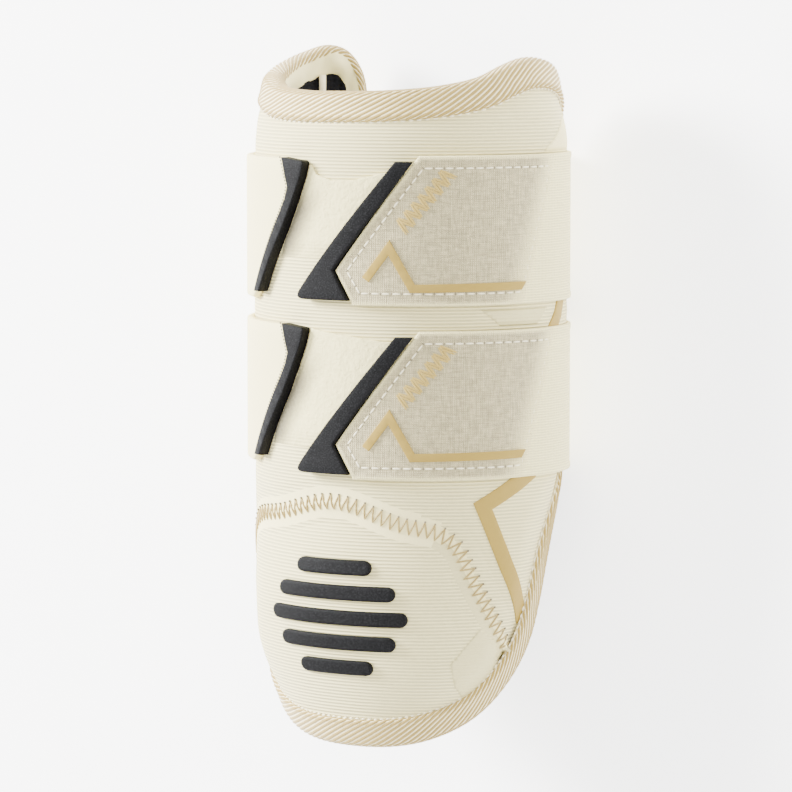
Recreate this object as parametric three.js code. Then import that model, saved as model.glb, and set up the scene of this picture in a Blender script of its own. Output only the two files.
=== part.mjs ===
// Elbow guard for a baseball batter: a padded C-shaped shield, open at the back, with a shallow
// bowl over the elbow and two elastic straps that close over its front with hook tabs.
//
// Millimetres. X runs across the guard, Y along the forearm with the elbow cap at the low end, and
// Z points out of the front. The guard lies on its back, on the flat backs of its two straps.
import * as THREE from "three";

// Overall form
const GUARD_LENGTH = 232;
const FRONT_RADIUS = 55.5; // outer face of the padding round the front of the arm
const FRONT_HALF_ANGLE = 75; // degrees to each side that keep the front radius
const FLAP_RADIUS = 34; // outer face of the side flaps, which curl in tighter
const FLAP_ARC = 120; // along the outer face, from the front line to a flap's edge
const BOWL_HEIGHT = 62; // length of the elbow cap that draws in towards the arm
const BOWL_DEPTH = 7;

// Padding
const PAD_THICKNESS = 8;
const RIM_DROP = 4.5; // how much thinner the padding is at its bound edge
const RIM_ROLL = 22; // width of the slope down to that edge
const SEAM_DROP = 2.4;
const SEAM_ROLL = 7;
const CAP_CROWN = 2; // how far the elbow cap swells in its middle
const CAP_CROWN_REACH = 26;

// Edge binding, lining and what lies on them
const BINDING_WALL = 1.2;
const BINDING_FRONT_LEG = 9.5;
const BINDING_BACK_LEG = 3.5;
const BINDING_CORNER = 1.6;
const FACING_WIDTH = 5;
const FACING_WALL = 1.1;
const LINING_WALL = 1.3;
const TAPE_WIDTH = 3;
const TAPE_WALL = 0.8;
const CLEARANCE = 0.45; // between pieces that lie on each other
const EDGE_GAP = 2 * CLEARANCE; // between edges that follow each other round a curve

// Straps, with their hook tabs, loop patches and anchors
const STRAP_WIDTH = 49;
const STRAP_WALL = 1.3;
const LOWER_STRAP_UP = 91.3; // from the tip of the cap to the lower edge of each strap
const UPPER_STRAP_UP = 148.6;
const LOOP_WALL = 0.6;
const TAB_WALL = 1.6;
const TAB_EDGE_WALL = 2.8;
const ANCHOR_WALL = 2.6;
const ANCHOR_EDGE_WALL = 3.6;
const ANCHOR_BACK_ARC = 76; // where an anchor's rear edge meets its strap

// Raised trim
const TRIM_WALL = 0.7;
const TAB_LINE_WIDTH = 2.7;
const SIDE_LINE_WIDTH = 5.2;
const CAP_RIB_WIDTH = 5;
const CAP_RIB_WALL = 1.5;
const CAP_RIB_PITCH = 8.4;
const CAP_RIB_CENTRE_UP = 45;

// Shares of two sizes: out of FLAP_ARC and up of GUARD_LENGTH. The lower rim runs from the tip of
// the cap to the middle of a flap's edge, and is the same on both sides.
const LOWER_RIM = [
  { out: 0, up: 0 },
  { out: 0.165, up: 0.003 },
  { out: 0.29, up: 0.014 },
  { out: 0.41, up: 0.036 },
  { out: 0.495, up: 0.064 },
  { out: 0.575, up: 0.106 },
  { out: 0.632, up: 0.155 },
  { out: 0.665, up: 0.207 },
  { out: 0.7, up: 0.262 },
  { out: 0.752, up: 0.311 },
  { out: 0.828, up: 0.353 },
  { out: 0.894, up: 0.408 },
  { out: 0.952, up: 0.49 },
  { out: 0.985, up: 0.58 },
  { out: 1, up: 0.69 },
];
// The upper rim runs from the middle of a flap's edge over its corner to the front line.
const UPPER_RIM_RIGHT = [
  { out: 0.985, up: 0.81 },
  { out: 0.962, up: 0.886 },
  { out: 0.905, up: 0.935 },
  { out: 0.805, up: 0.967 },
  { out: 0.7, up: 0.984 },
  { out: 0.6, up: 0.987 },
  { out: 0.52, up: 0.977 },
  { out: 0.43, up: 0.96 },
  { out: 0.3, up: 0.948 },
  { out: 0.15, up: 0.942 },
];
const UPPER_RIM_LEFT = [
  { out: 1, up: 0.82 },
  { out: 1, up: 0.915 },
  { out: 0.98, up: 0.962 },
  { out: 0.93, up: 0.991 },
  { out: 0.86, up: 1 },
  { out: 0.77, up: 0.991 },
  { out: 0.66, up: 0.977 },
  { out: 0.54, up: 0.964 },
  { out: 0.42, up: 0.957 },
  { out: 0.3, up: 0.945 },
  { out: 0.15, up: 0.94 },
];
const FRONT_TOP = { out: 0, up: 0.94 };

// Seam between the body and the elbow cap, from its left end to its right end
const CAP_SEAM = [
  { out: -0.62, up: 0.142 },
  { out: -0.535, up: 0.203 },
  { out: -0.492, up: 0.259 },
  { out: -0.45, up: 0.297 },
  { out: -0.375, up: 0.321 },
  { out: -0.21, up: 0.336 },
  { out: 0, up: 0.358 },
  { out: 0.195, up: 0.328 },
  { out: 0.3, up: 0.316 },
  { out: 0.35, up: 0.296 },
  { out: 0.395, up: 0.25 },
  { out: 0.46, up: 0.19 },
  { out: 0.565, up: 0.115 },
];

// Front edges of a strap's pieces: up is a share of STRAP_WIDTH, and arc is measured in millimetres
// from the front line, because the straps stay as they are when the flaps grow longer.
const TAB_FRONT = [
  { up: 0, arc: 8.2 },
  { up: 0.23, arc: 2.2 },
  { up: 1, arc: 29.5 },
];
const TAB_EDGE_FRONT = [
  { up: 0.03, arc: -9.5 },
  { up: 0.07, arc: -11.8 },
  { up: 0.96, arc: 22 },
];
const TAB_REAR = [
  { up: 0, arc: 65.5 },
  { up: 1, arc: 80 },
];
const ANCHOR_FRONT = [
  { up: 0, arc: -41 },
  { up: 0.05, arc: -37.6 },
  { up: 0.6, arc: -20.5 },
  { up: 0.7, arc: -17.8 },
  { up: 0.78, arc: -16.6 },
  { up: 0.97, arc: -19.6 },
];
const ANCHOR_EDGE_FRONT = [
  { up: 0.05, arc: -33.4 },
  { up: 0.5, arc: -18.8 },
  { up: 0.68, arc: -14.2 },
  { up: 0.85, arc: -10.6 },
  { up: 0.955, arc: -9.2 },
];
const ANCHOR_RISE = { lower: 2.4, upper: 0 };
const TAB_LINE_RISE = { lower: 1.8, upper: 0 };
const LOOP_TO_ARC = 46;
const LOOP_UP = { lower: [0.19, 0.95], upper: [0.3, 0.88] }; // shares of STRAP_WIDTH

// Raised line on a tab, and the line down the right side of the body: chosen corner points
const TAB_LINE = [
  { arc: 12.6, up: 0.175 },
  { arc: 20.1, up: 0.39 },
  { arc: 27.4, up: 0.118 },
  { arc: 65.3, up: 0.126 },
];
const SIDE_LINE = [
  { arc: 65.5, up: 90.3 },
  { arc: 50.7, up: 82.2 },
  { arc: 64.3, up: 48.5 },
];
const CAP_RIB_HALF_LENGTHS = [14, 22, 26, 22, 14];

// Tape on the left flap's lining, and the corners where the pieces' edges turn
const TAPE_PLACE = { out: 0.81, low: 0.47, high: 0.948 };
const CORNER_RIGHT = { out: 0.905, up: 0.935 };
const CORNER_LEFT = { out: 0.965, up: 0.975 };
const CORNER_LOW = { out: 0.8, up: 0.335 };

// Fineness of the faceted surfaces
const RIM_STEPS = 360;
const SEAM_STEPS = 90;
const SEAM_END_STEPS = 3; // left out at each end, where the seam meets the padding's edge
const CURVE_DIVISIONS = 40;
const CAP_CORNER_STEPS = 4; // the cap's two corners are cut off over this much of the rim
const BODY_GRID = { columns: 34, rows: 18 };
const CAP_GRID = { columns: 30, rows: 9 };
const LINING_GRID = { columns: 24, rows: 13 };
const BINDING_STATIONS = 108;
const FACING_STATIONS = 72;
const STRAP_COLUMNS = 28;
const TAB_COLUMNS = 12;
const TAB_EDGE_COLUMNS = 3;
const ANCHOR_COLUMNS = 10;
const ANCHOR_EDGE_COLUMNS = 2;
const LOOP_COLUMNS = 10;
const TAPE_SPACING = 12;
const TAB_LINE_SPACING = 9;
const SIDE_LINE_SPACING = 6;
const CAP_RIB_SPACING = 6;
const RIB_END_STEPS = 3;
const RIB_END_START = 15; // degrees off a rib's own line, where its round end starts
const SHARPEST_MITRE = 0.3; // cosine that keeps a mitre from growing long

const rad = THREE.MathUtils.degToRad;
const lerp = THREE.MathUtils.lerp;
const smoothstep = THREE.MathUtils.smoothstep;

// The guard's section: the outer face of the padding, by the arc from the front line. It runs on
// past a flap's edge round to the flat back, where the straps lie.
const FLAP_CENTRE_X = (FRONT_RADIUS - FLAP_RADIUS) * Math.sin(rad(FRONT_HALF_ANGLE));
const FLAP_CENTRE_Z = (FRONT_RADIUS - FLAP_RADIUS) * Math.cos(rad(FRONT_HALF_ANGLE));
const FRONT_ARC = FRONT_RADIUS * rad(FRONT_HALF_ANGLE);
const BACK_ARC = FRONT_ARC + FLAP_RADIUS * rad(180 - FRONT_HALF_ANGLE);
const HALF_ROUND = BACK_ARC + FLAP_CENTRE_X;

function drawIn(up) {
  const share = THREE.MathUtils.clamp(1 - up / BOWL_HEIGHT, 0, 1);
  return BOWL_DEPTH * (1 - Math.cos((share * Math.PI) / 2));
}

// A point by its arc, its height up the guard and its distance off the padding's outer face
function onGuard(arc, up, off) {
  const wrapped = arc < -HALF_ROUND ? arc + 2 * HALF_ROUND : arc;
  const side = Math.sign(wrapped) || 1;
  const run = Math.abs(wrapped);
  const reach = off - drawIn(up);
  if (run <= FRONT_ARC) {
    const turn = run / FRONT_RADIUS;
    const radius = FRONT_RADIUS + reach;
    return new THREE.Vector3(side * radius * Math.sin(turn), up, radius * Math.cos(turn));
  }
  if (run <= BACK_ARC) {
    const turn = rad(FRONT_HALF_ANGLE) + (run - FRONT_ARC) / FLAP_RADIUS;
    const radius = FLAP_RADIUS + reach;
    const x = FLAP_CENTRE_X + radius * Math.sin(turn);
    return new THREE.Vector3(side * x, up, FLAP_CENTRE_Z + radius * Math.cos(turn));
  }
  return new THREE.Vector3(side * (HALF_ROUND - run), up, FLAP_CENTRE_Z - FLAP_RADIUS - reach);
}

// Flat layouts are in the plane of arc and up
const layoutPoint = (row, side = 1) =>
  new THREE.Vector3(side * row.out * FLAP_ARC, row.up * GUARD_LENGTH, 0);

function evenly(points, count, closed = false) {
  const curve = new THREE.CatmullRomCurve3(points, closed, "centripetal");
  curve.arcLengthDivisions = CURVE_DIVISIONS * points.length;
  return curve.getSpacedPoints(count);
}

const rim = evenly(
  [
    ...LOWER_RIM.map((row) => layoutPoint(row)),
    ...UPPER_RIM_RIGHT.map((row) => layoutPoint(row)),
    layoutPoint(FRONT_TOP),
    ...UPPER_RIM_LEFT.map((row) => layoutPoint(row, -1)).reverse(),
    ...LOWER_RIM.slice(1).map((row) => layoutPoint(row, -1)).reverse(),
  ],
  RIM_STEPS,
  true,
).slice(0, RIM_STEPS);
const seam = evenly(CAP_SEAM.map((row) => layoutPoint(row)), SEAM_STEPS);

// The rim runs anticlockwise in the layout, so its inward side is on the left
function inwardAt(points, i) {
  const before = points[(i + points.length - 1) % points.length];
  const after = points[(i + 1) % points.length];
  return new THREE.Vector3(before.y - after.y, after.x - before.x, 0).normalize();
}

function inset(points, distance) {
  return points.map((p, i) => p.clone().addScaledVector(inwardAt(points, i), distance));
}

function distanceTo(points, place, closed) {
  const segment = new THREE.Line3();
  const nearest = new THREE.Vector3();
  const last = closed ? points.length : points.length - 1;
  let least = Infinity;
  for (let i = 0; i < last; i++) {
    segment.set(points[i], points[(i + 1) % points.length]);
    segment.closestPointToPoint(place, true, nearest);
    least = Math.min(least, nearest.distanceTo(place));
  }
  return least;
}

// How far the padding's outer face stands off the section at a place in the layout
function padOff(place, onCap) {
  const fromRim = distanceTo(rim, place, true);
  const fromSeam = distanceTo(seam, place, false);
  const rimOff = -RIM_DROP * (1 - smoothstep(fromRim, 0, RIM_ROLL));
  const seamOff = -SEAM_DROP * (1 - smoothstep(fromSeam, 0, SEAM_ROLL));
  const inland = Math.min(fromRim, fromSeam);
  return rimOff + seamOff + (onCap ? CAP_CROWN * smoothstep(inland, BINDING_FRONT_LEG, CAP_CROWN_REACH) : 0);
}

// Closed solids from a grid of points with an outer and an inner face
function solidFrom(points, faces) {
  const geometry = new THREE.BufferGeometry().setFromPoints(points);
  let volume = 0;
  for (const [a, b, c] of faces) {
    volume += points[a].dot(new THREE.Vector3().crossVectors(points[b], points[c]));
  }
  geometry.setIndex(faces.flatMap(([a, b, c]) => (volume < 0 ? [a, c, b] : [a, b, c])));
  geometry.computeVertexNormals();
  return geometry;
}

function quad(faces, a, b, c, d) {
  faces.push([a, b, d], [b, c, d]);
}

// at(i, j, outer) gives each point. With ring set, column 0 follows the last column.
function slab(columns, rows, at, ring = false) {
  const points = [];
  const faces = [];
  const across = ring ? columns : columns + 1;
  const index = (i, j, outer) => ((i % across) * (rows + 1) + j) * 2 + (outer ? 1 : 0);
  for (let i = 0; i < across; i++) {
    for (let j = 0; j <= rows; j++) {
      points.push(at(i, j, false), at(i, j, true));
    }
  }
  for (let i = 0; i < columns; i++) {
    for (let j = 0; j < rows; j++) {
      quad(faces, index(i, j, 1), index(i + 1, j, 1), index(i + 1, j + 1, 1), index(i, j + 1, 1));
      quad(faces, index(i, j, 0), index(i, j + 1, 0), index(i + 1, j + 1, 0), index(i + 1, j, 0));
    }
    quad(faces, index(i, 0, 0), index(i + 1, 0, 0), index(i + 1, 0, 1), index(i, 0, 1));
    quad(faces, index(i, rows, 1), index(i + 1, rows, 1), index(i + 1, rows, 0), index(i, rows, 0));
  }
  for (let j = 0; j < rows && !ring; j++) {
    quad(faces, index(0, j, 0), index(0, j, 1), index(0, j + 1, 1), index(0, j + 1, 0));
    quad(
      faces,
      index(columns, j, 1),
      index(columns, j, 0),
      index(columns, j + 1, 0),
      index(columns, j + 1, 1),
    );
  }
  return solidFrom(points, faces);
}

// A loop of like sections, each a list of points
function sweptLoop(sections) {
  const faces = [];
  const sides = sections[0].length;
  const index = (i, j) => (i % sections.length) * sides + (j % sides);
  for (let i = 0; i < sections.length; i++) {
    for (let j = 0; j < sides; j++) {
      quad(faces, index(i, j), index(i + 1, j), index(i + 1, j + 1), index(i, j + 1));
    }
  }
  return solidFrom(sections.flat(), faces);
}

// A point of a polyline at a share of its length
function along(points, share) {
  const lengths = [0];
  for (let i = 1; i < points.length; i++) {
    lengths.push(lengths[i - 1] + points[i].distanceTo(points[i - 1]));
  }
  const target = share * lengths.at(-1);
  let i = 1;
  while (i < points.length - 1 && lengths[i] < target) i++;
  const part = (target - lengths[i - 1]) / (lengths[i] - lengths[i - 1]);
  return points[i - 1].clone().lerp(points[i], THREE.MathUtils.clamp(part, 0, 1));
}

// A patch between four edges of the layout, which meet at its corners
function fourSided(bottom, right, top, left) {
  const corners = [bottom[0], bottom.at(-1), top[0], top.at(-1)];
  return (u, v) =>
    along(bottom, u)
      .multiplyScalar(1 - v)
      .addScaledVector(along(top, u), v)
      .addScaledVector(along(left, v), 1 - u)
      .addScaledVector(along(right, v), u)
      .addScaledVector(corners[0], -(1 - u) * (1 - v))
      .addScaledVector(corners[1], -u * (1 - v))
      .addScaledVector(corners[2], -(1 - u) * v)
      .addScaledVector(corners[3], -u * v);
}

function nearestIndex(points, place) {
  let best = 0;
  points.forEach((p, i) => {
    if (p.distanceTo(place) < points[best].distanceTo(place)) best = i;
  });
  return best;
}

// The stretch of a closed loop from one index forward to another
function stretch(points, from, to) {
  const count = ((to - from + points.length) % points.length) + 1;
  return Array.from({ length: count }, (_, k) => points[(from + k) % points.length]);
}

// Padded body and elbow cap
const padEdge = inset(rim, BINDING_WALL + EDGE_GAP);
const topRight = nearestIndex(padEdge, layoutPoint(CORNER_RIGHT));
const topLeft = nearestIndex(padEdge, layoutPoint(CORNER_LEFT, -1));
const seamLeft = nearestIndex(padEdge, seam[0]);
const seamRight = nearestIndex(padEdge, seam.at(-1));

// The seam line moved up or down by half its gap, with its ends on the padding's edge
function seamEdge(shift) {
  const inner = seam.slice(SEAM_END_STEPS, -SEAM_END_STEPS).map((p) => p.clone().setY(p.y + shift));
  const turn = Math.sign(shift);
  const start = padEdge[(seamLeft - turn + RIM_STEPS) % RIM_STEPS];
  const end = padEdge[(seamRight + turn + RIM_STEPS) % RIM_STEPS];
  return [start, ...inner, end];
}

const bodyBottom = seamEdge(CLEARANCE / 2);
const capTop = seamEdge(-CLEARANCE / 2);
const bodyLayout = fourSided(
  bodyBottom,
  stretch(padEdge, (seamRight + 1) % RIM_STEPS, topRight),
  stretch(padEdge, topRight, topLeft).reverse(),
  stretch(padEdge, topLeft, (seamLeft - 1 + RIM_STEPS) % RIM_STEPS).reverse(),
);
const capEdge = stretch(
  padEdge,
  (seamLeft + CAP_CORNER_STEPS) % RIM_STEPS,
  (seamRight - CAP_CORNER_STEPS + RIM_STEPS) % RIM_STEPS,
);
const capLayout = fourSided(
  capEdge,
  [capEdge.at(-1), capTop.at(-1)],
  capTop,
  [capEdge[0], capTop[0]],
);

function pad(layout, { columns, rows }, onCap) {
  return slab(columns, rows, (i, j, outer) => {
    const place = layout(i / columns, j / rows);
    return onGuard(place.x, place.y, outer ? padOff(place, onCap) : -PAD_THICKNESS);
  });
}

// Edge binding: a folded tape over the padding's edge, all the way round
function bindingSection(k) {
  const i = Math.round((k * RIM_STEPS) / BINDING_STATIONS) % RIM_STEPS;
  const inward = inwardAt(rim, i);
  const at = (depth, off) => {
    const place = rim[i].clone().addScaledVector(inward, depth);
    return onGuard(place.x, place.y, off);
  };
  const faceOff = (depth) => -RIM_DROP * (1 - smoothstep(depth, 0, RIM_ROLL));
  const under = 1.5 * CLEARANCE;
  const over = under + BINDING_WALL;
  const backOff = -PAD_THICKNESS - CLEARANCE;
  const noseOff = (faceOff(0) - PAD_THICKNESS) / 2;
  return [
    at(BINDING_FRONT_LEG, faceOff(BINDING_FRONT_LEG) + over),
    at(BINDING_CORNER, faceOff(BINDING_CORNER) + over),
    at(0, noseOff + BINDING_CORNER),
    at(0, noseOff - BINDING_CORNER),
    at(BINDING_CORNER, backOff - BINDING_WALL),
    at(BINDING_BACK_LEG, backOff - BINDING_WALL),
    at(BINDING_BACK_LEG, backOff),
    at(BINDING_WALL, backOff),
    at(BINDING_WALL, faceOff(BINDING_WALL) + under),
    at(BINDING_FRONT_LEG, faceOff(BINDING_FRONT_LEG) + under),
  ];
}

// Lining: a mesh panel inside, framed by a facing band along the binding
const LINING_OFF = -PAD_THICKNESS - CLEARANCE;
const facingEdge = inset(rim, BINDING_BACK_LEG + EDGE_GAP);
const facingInner = inset(rim, BINDING_BACK_LEG + EDGE_GAP + FACING_WIDTH);
const liningEdge = inset(rim, BINDING_BACK_LEG + 2 * EDGE_GAP + FACING_WIDTH);
const lowRight = nearestIndex(liningEdge, layoutPoint(CORNER_LOW));
const lowLeft = nearestIndex(liningEdge, layoutPoint(CORNER_LOW, -1));
const liningLayout = fourSided(
  stretch(liningEdge, lowLeft, lowRight),
  stretch(liningEdge, lowRight, topRight),
  stretch(liningEdge, topRight, topLeft).reverse(),
  stretch(liningEdge, topLeft, lowLeft).reverse(),
);

function liningPanel({ columns, rows }) {
  return slab(columns, rows, (i, j, outer) => {
    const place = liningLayout(i / columns, j / rows);
    return onGuard(place.x, place.y, outer ? LINING_OFF : LINING_OFF - LINING_WALL);
  });
}

function facingBand() {
  return slab(
    FACING_STATIONS,
    1,
    (i, j, outer) => {
      const k = Math.round((i * RIM_STEPS) / FACING_STATIONS) % RIM_STEPS;
      const place = j ? facingInner[k] : facingEdge[k];
      return onGuard(place.x, place.y, outer ? LINING_OFF : LINING_OFF - FACING_WALL);
    },
    true,
  );
}

// Pieces of the straps: rows of a flat layout between two edges, each a table of up and arc
function readTable(rows, up) {
  const after = rows.findIndex((row) => row.up >= up);
  if (after < 0) return rows.at(-1).arc;
  if (after === 0) return rows[0].arc;
  const [low, high] = [rows[after - 1], rows[after]];
  return lerp(low.arc, high.arc, (up - low.up) / (high.up - low.up));
}

function strapPiece({ base, ups, front, rear, columns, inner, wall }) {
  return slab(columns, ups.length - 1, (i, j, outer) => {
    const arc = lerp(front(ups[j]), rear(ups[j]), i / columns);
    return onGuard(arc, base + ups[j] * STRAP_WIDTH, outer ? inner + wall : inner);
  });
}

// A raised line with mitred corners through places in the layout
function raisedLine(places, width, inner, wall, spacing) {
  const stations = [];
  places.forEach((place, k) => {
    const before = places[Math.max(k - 1, 0)];
    const after = places[Math.min(k + 1, places.length - 1)];
    const incoming = place.clone().sub(k ? before : after.clone().negate().add(place).add(place));
    const outgoing = (k < places.length - 1 ? after.clone().sub(place) : incoming.clone()).normalize();
    incoming.normalize();
    const mean = incoming.clone().add(outgoing).normalize();
    const side = new THREE.Vector3(-mean.y, mean.x, 0);
    const mitre = width / 2 / Math.max(mean.dot(outgoing), SHARPEST_MITRE);
    if (k) {
      const steps = Math.ceil(place.distanceTo(before) / spacing);
      const last = stations.at(-1);
      for (let n = 1; n < steps; n++) {
        stations.push({
          place: last.place.clone().lerp(place, n / steps),
          side: last.side.clone().lerp(side.clone().multiplyScalar(mitre), n / steps),
        });
      }
    }
    stations.push({ place, side: side.multiplyScalar(mitre) });
  });
  return slab(stations.length - 1, 1, (i, j, outer) => {
    const { place, side } = stations[i];
    const point = place.clone().addScaledVector(side, j ? 1 : -1);
    return onGuard(point.x, point.y, outer ? inner + wall : inner);
  });
}

// Colours and finishes
const finish = (color, roughness) => new THREE.MeshStandardMaterial({ color, roughness, metalness: 0 });
const KNIT = finish(0xf0ecde, 0.85);
const STRAP_WEAVE = finish(0xdedacb, 0.85);
const BINDING_TAPE = finish(0xe0cfa6, 0.8);
const MESH = finish(0x17171a, 0.9);
const RUBBER = finish(0x2e2e30, 0.6);
const TAN = finish(0xc9b681, 0.6);
const LOOP = finish(0xefeadc, 0.95);

const guard = new THREE.Group();

function add(name, geometry, material) {
  const mesh = new THREE.Mesh(geometry, material);
  mesh.name = name;
  guard.add(mesh);
}

add("body_panel", pad(bodyLayout, BODY_GRID, false), KNIT);
add("elbow_cap", pad(capLayout, CAP_GRID, true), KNIT);
add(
  "edge_binding",
  sweptLoop(Array.from({ length: BINDING_STATIONS }, (_, k) => bindingSection(k))),
  BINDING_TAPE,
);
add("facing_band", facingBand(), KNIT);
add("mesh_lining", liningPanel(LINING_GRID), MESH);

const TAPE_INNER = LINING_OFF - LINING_WALL - CLEARANCE - TAPE_WALL;
add(
  "lining_tape",
  raisedLine(
    [
      layoutPoint({ out: TAPE_PLACE.out, up: TAPE_PLACE.low }, -1),
      layoutPoint({ out: TAPE_PLACE.out, up: TAPE_PLACE.high }, -1),
    ],
    TAPE_WIDTH,
    TAPE_INNER,
    TAPE_WALL,
    TAPE_SPACING,
  ),
  TAN,
);

const TAB_INNER = LOOP_WALL + 2 * CLEARANCE;
const TAB_UPS = [0, 0.23, 0.5, 0.75, 1];
const LOOP_SHARES = [0, 0.25, 0.5, 0.75, 1];
const STRAP_UPS = [0, 1 / 3, 2 / 3, 1];

for (const [which, base] of Object.entries({ upper: UPPER_STRAP_UP, lower: LOWER_STRAP_UP })) {
  const tabFront = (up) => readTable(TAB_FRONT, up);
  const tabRear = (up) => readTable(TAB_REAR, up);
  const anchorFront = (up) => readTable(ANCHOR_FRONT, up);
  const anchorBase = base + ANCHOR_RISE[which];
  const lineBase = base + TAB_LINE_RISE[which];
  add(
    `${which}_strap`,
    strapPiece({
      base,
      ups: STRAP_UPS,
      front: () => -ANCHOR_BACK_ARC - CLEARANCE,
      rear: (up) => tabRear(up) + CLEARANCE - 2 * HALF_ROUND,
      columns: STRAP_COLUMNS,
      inner: CLEARANCE,
      wall: STRAP_WALL,
    }),
    STRAP_WEAVE,
  );
  add(
    `${which}_strap_tab`,
    strapPiece({
      base,
      ups: TAB_UPS,
      front: tabFront,
      rear: tabRear,
      columns: TAB_COLUMNS,
      inner: TAB_INNER,
      wall: TAB_WALL,
    }),
    STRAP_WEAVE,
  );
  add(
    `${which}_tab_edge`,
    strapPiece({
      base,
      ups: [0.03, 0.07, 0.23, 0.5, 0.75, 0.96],
      front: (up) => readTable(TAB_EDGE_FRONT, up),
      rear: (up) => tabFront(up) - CLEARANCE,
      columns: TAB_EDGE_COLUMNS,
      inner: TAB_INNER,
      wall: TAB_EDGE_WALL,
    }),
    RUBBER,
  );
  add(
    `${which}_anchor`,
    strapPiece({
      base: anchorBase,
      ups: [0, 0.05, 0.33, 0.6, 0.7, 0.78, 0.97],
      front: anchorFront,
      rear: () => -ANCHOR_BACK_ARC,
      columns: ANCHOR_COLUMNS,
      inner: CLEARANCE,
      wall: ANCHOR_WALL,
    }),
    STRAP_WEAVE,
  );
  add(
    `${which}_anchor_edge`,
    strapPiece({
      base: anchorBase,
      ups: [0.05, 0.28, 0.5, 0.6, 0.7, 0.78, 0.85, 0.955],
      front: (up) => anchorFront(up) + CLEARANCE,
      rear: (up) => readTable(ANCHOR_EDGE_FRONT, up),
      columns: ANCHOR_EDGE_COLUMNS,
      inner: CLEARANCE,
      wall: ANCHOR_EDGE_WALL,
    }),
    RUBBER,
  );
  add(
    `${which}_loop_patch`,
    strapPiece({
      base,
      ups: LOOP_SHARES.map((share) => lerp(...LOOP_UP[which], share)),
      front: (up) => readTable(ANCHOR_EDGE_FRONT, up - ANCHOR_RISE[which] / STRAP_WIDTH) + EDGE_GAP,
      rear: () => LOOP_TO_ARC,
      columns: LOOP_COLUMNS,
      inner: CLEARANCE,
      wall: LOOP_WALL,
    }),
    LOOP,
  );
  add(
    `${which}_tab_line`,
    raisedLine(
      TAB_LINE.map(({ arc, up }) => new THREE.Vector3(arc, lineBase + up * STRAP_WIDTH, 0)),
      TAB_LINE_WIDTH,
      TAB_INNER + TAB_WALL + CLEARANCE,
      TRIM_WALL,
      TAB_LINE_SPACING,
    ),
    TAN,
  );
}

const sidePlace = ({ arc, up }) => new THREE.Vector3(arc, up, 0);
add(
  "side_line",
  raisedLine(SIDE_LINE.map(sidePlace), SIDE_LINE_WIDTH, CLEARANCE, TRIM_WALL, SIDE_LINE_SPACING),
  TAN,
);

// Ribs over the elbow cap: straight bars with round ends, laid out as an oval
CAP_RIB_HALF_LENGTHS.forEach((half, k) => {
  const middle = (CAP_RIB_HALF_LENGTHS.length - 1) / 2;
  const centreUp = CAP_RIB_CENTRE_UP + (middle - k) * CAP_RIB_PITCH;
  const radius = CAP_RIB_WIDTH / 2;
  const straight = half - radius;
  const stations = [];
  for (let n = 0; n < RIB_END_STEPS; n++) {
    const turn = rad(lerp(RIB_END_START, 90, n / RIB_END_STEPS));
    stations.push({ arc: -straight - radius * Math.cos(turn), half: radius * Math.sin(turn) });
  }
  const straightSteps = Math.ceil((2 * straight) / CAP_RIB_SPACING);
  for (let n = 0; n <= straightSteps; n++) {
    stations.push({ arc: lerp(-straight, straight, n / straightSteps), half: radius });
  }
  for (let n = RIB_END_STEPS - 1; n >= 0; n--) {
    stations.push({ arc: -stations[n].arc, half: stations[n].half });
  }
  add(
    `cap_rib_${k + 1}`,
    slab(stations.length - 1, 1, (i, j, outer) => {
      const place = new THREE.Vector3(stations[i].arc, centreUp + (j ? 1 : -1) * stations[i].half, 0);
      const seat = padOff(place, true) + CLEARANCE;
      return onGuard(place.x, place.y, outer ? seat + CAP_RIB_WALL : seat);
    }),
    RUBBER,
  );
});

// The guard stands on the middle of its own footprint
const bounds = new THREE.Box3().setFromObject(guard);
const middle = bounds.getCenter(new THREE.Vector3());
guard.position.set(-middle.x, -middle.y, -bounds.min.z);

export default guard;
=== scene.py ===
"""Dresses a batter's elbow guard: padded knit shell, folded edge tape, and two straps with hook tabs.

Flat pattern pieces are laid out in millimetres as (arc, up, off): arc runs round the guard from its
front line, up runs from the tip of the elbow cap to the forearm end, and off stands out of the
padding's outer face. wrap() then bends each finished pattern round the guard, in metres.
"""

import math

import bmesh
import bpy
from bpy.props import FloatProperty, FloatVectorProperty, IntProperty, PointerProperty
from mathutils import Matrix, Vector, noise
from mathutils.bvhtree import BVHTree
from mathutils.kdtree import KDTree


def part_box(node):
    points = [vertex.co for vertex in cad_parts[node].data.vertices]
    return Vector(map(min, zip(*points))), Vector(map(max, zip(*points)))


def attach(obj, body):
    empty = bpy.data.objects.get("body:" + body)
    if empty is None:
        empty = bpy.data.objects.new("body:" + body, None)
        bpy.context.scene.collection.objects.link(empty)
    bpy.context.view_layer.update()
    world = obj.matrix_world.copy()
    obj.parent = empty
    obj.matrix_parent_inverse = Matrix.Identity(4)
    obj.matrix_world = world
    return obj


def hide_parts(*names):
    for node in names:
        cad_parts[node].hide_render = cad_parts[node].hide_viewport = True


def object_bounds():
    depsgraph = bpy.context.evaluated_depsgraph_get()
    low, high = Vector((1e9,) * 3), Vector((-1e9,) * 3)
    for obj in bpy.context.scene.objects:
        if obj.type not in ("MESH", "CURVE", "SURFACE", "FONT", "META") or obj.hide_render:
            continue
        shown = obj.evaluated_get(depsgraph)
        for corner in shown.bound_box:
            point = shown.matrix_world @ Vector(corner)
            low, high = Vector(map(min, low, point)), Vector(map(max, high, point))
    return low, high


bl_info = {
    "name": "Elbow guard",
    "version": (1, 0, 0),
    "blender": (4, 5, 0),
    "location": "View3D > Sidebar > Elbow guard",
    "description": "Builds the padded shell, straps and trim of a batter's elbow guard",
    "category": "Object",
}

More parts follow.
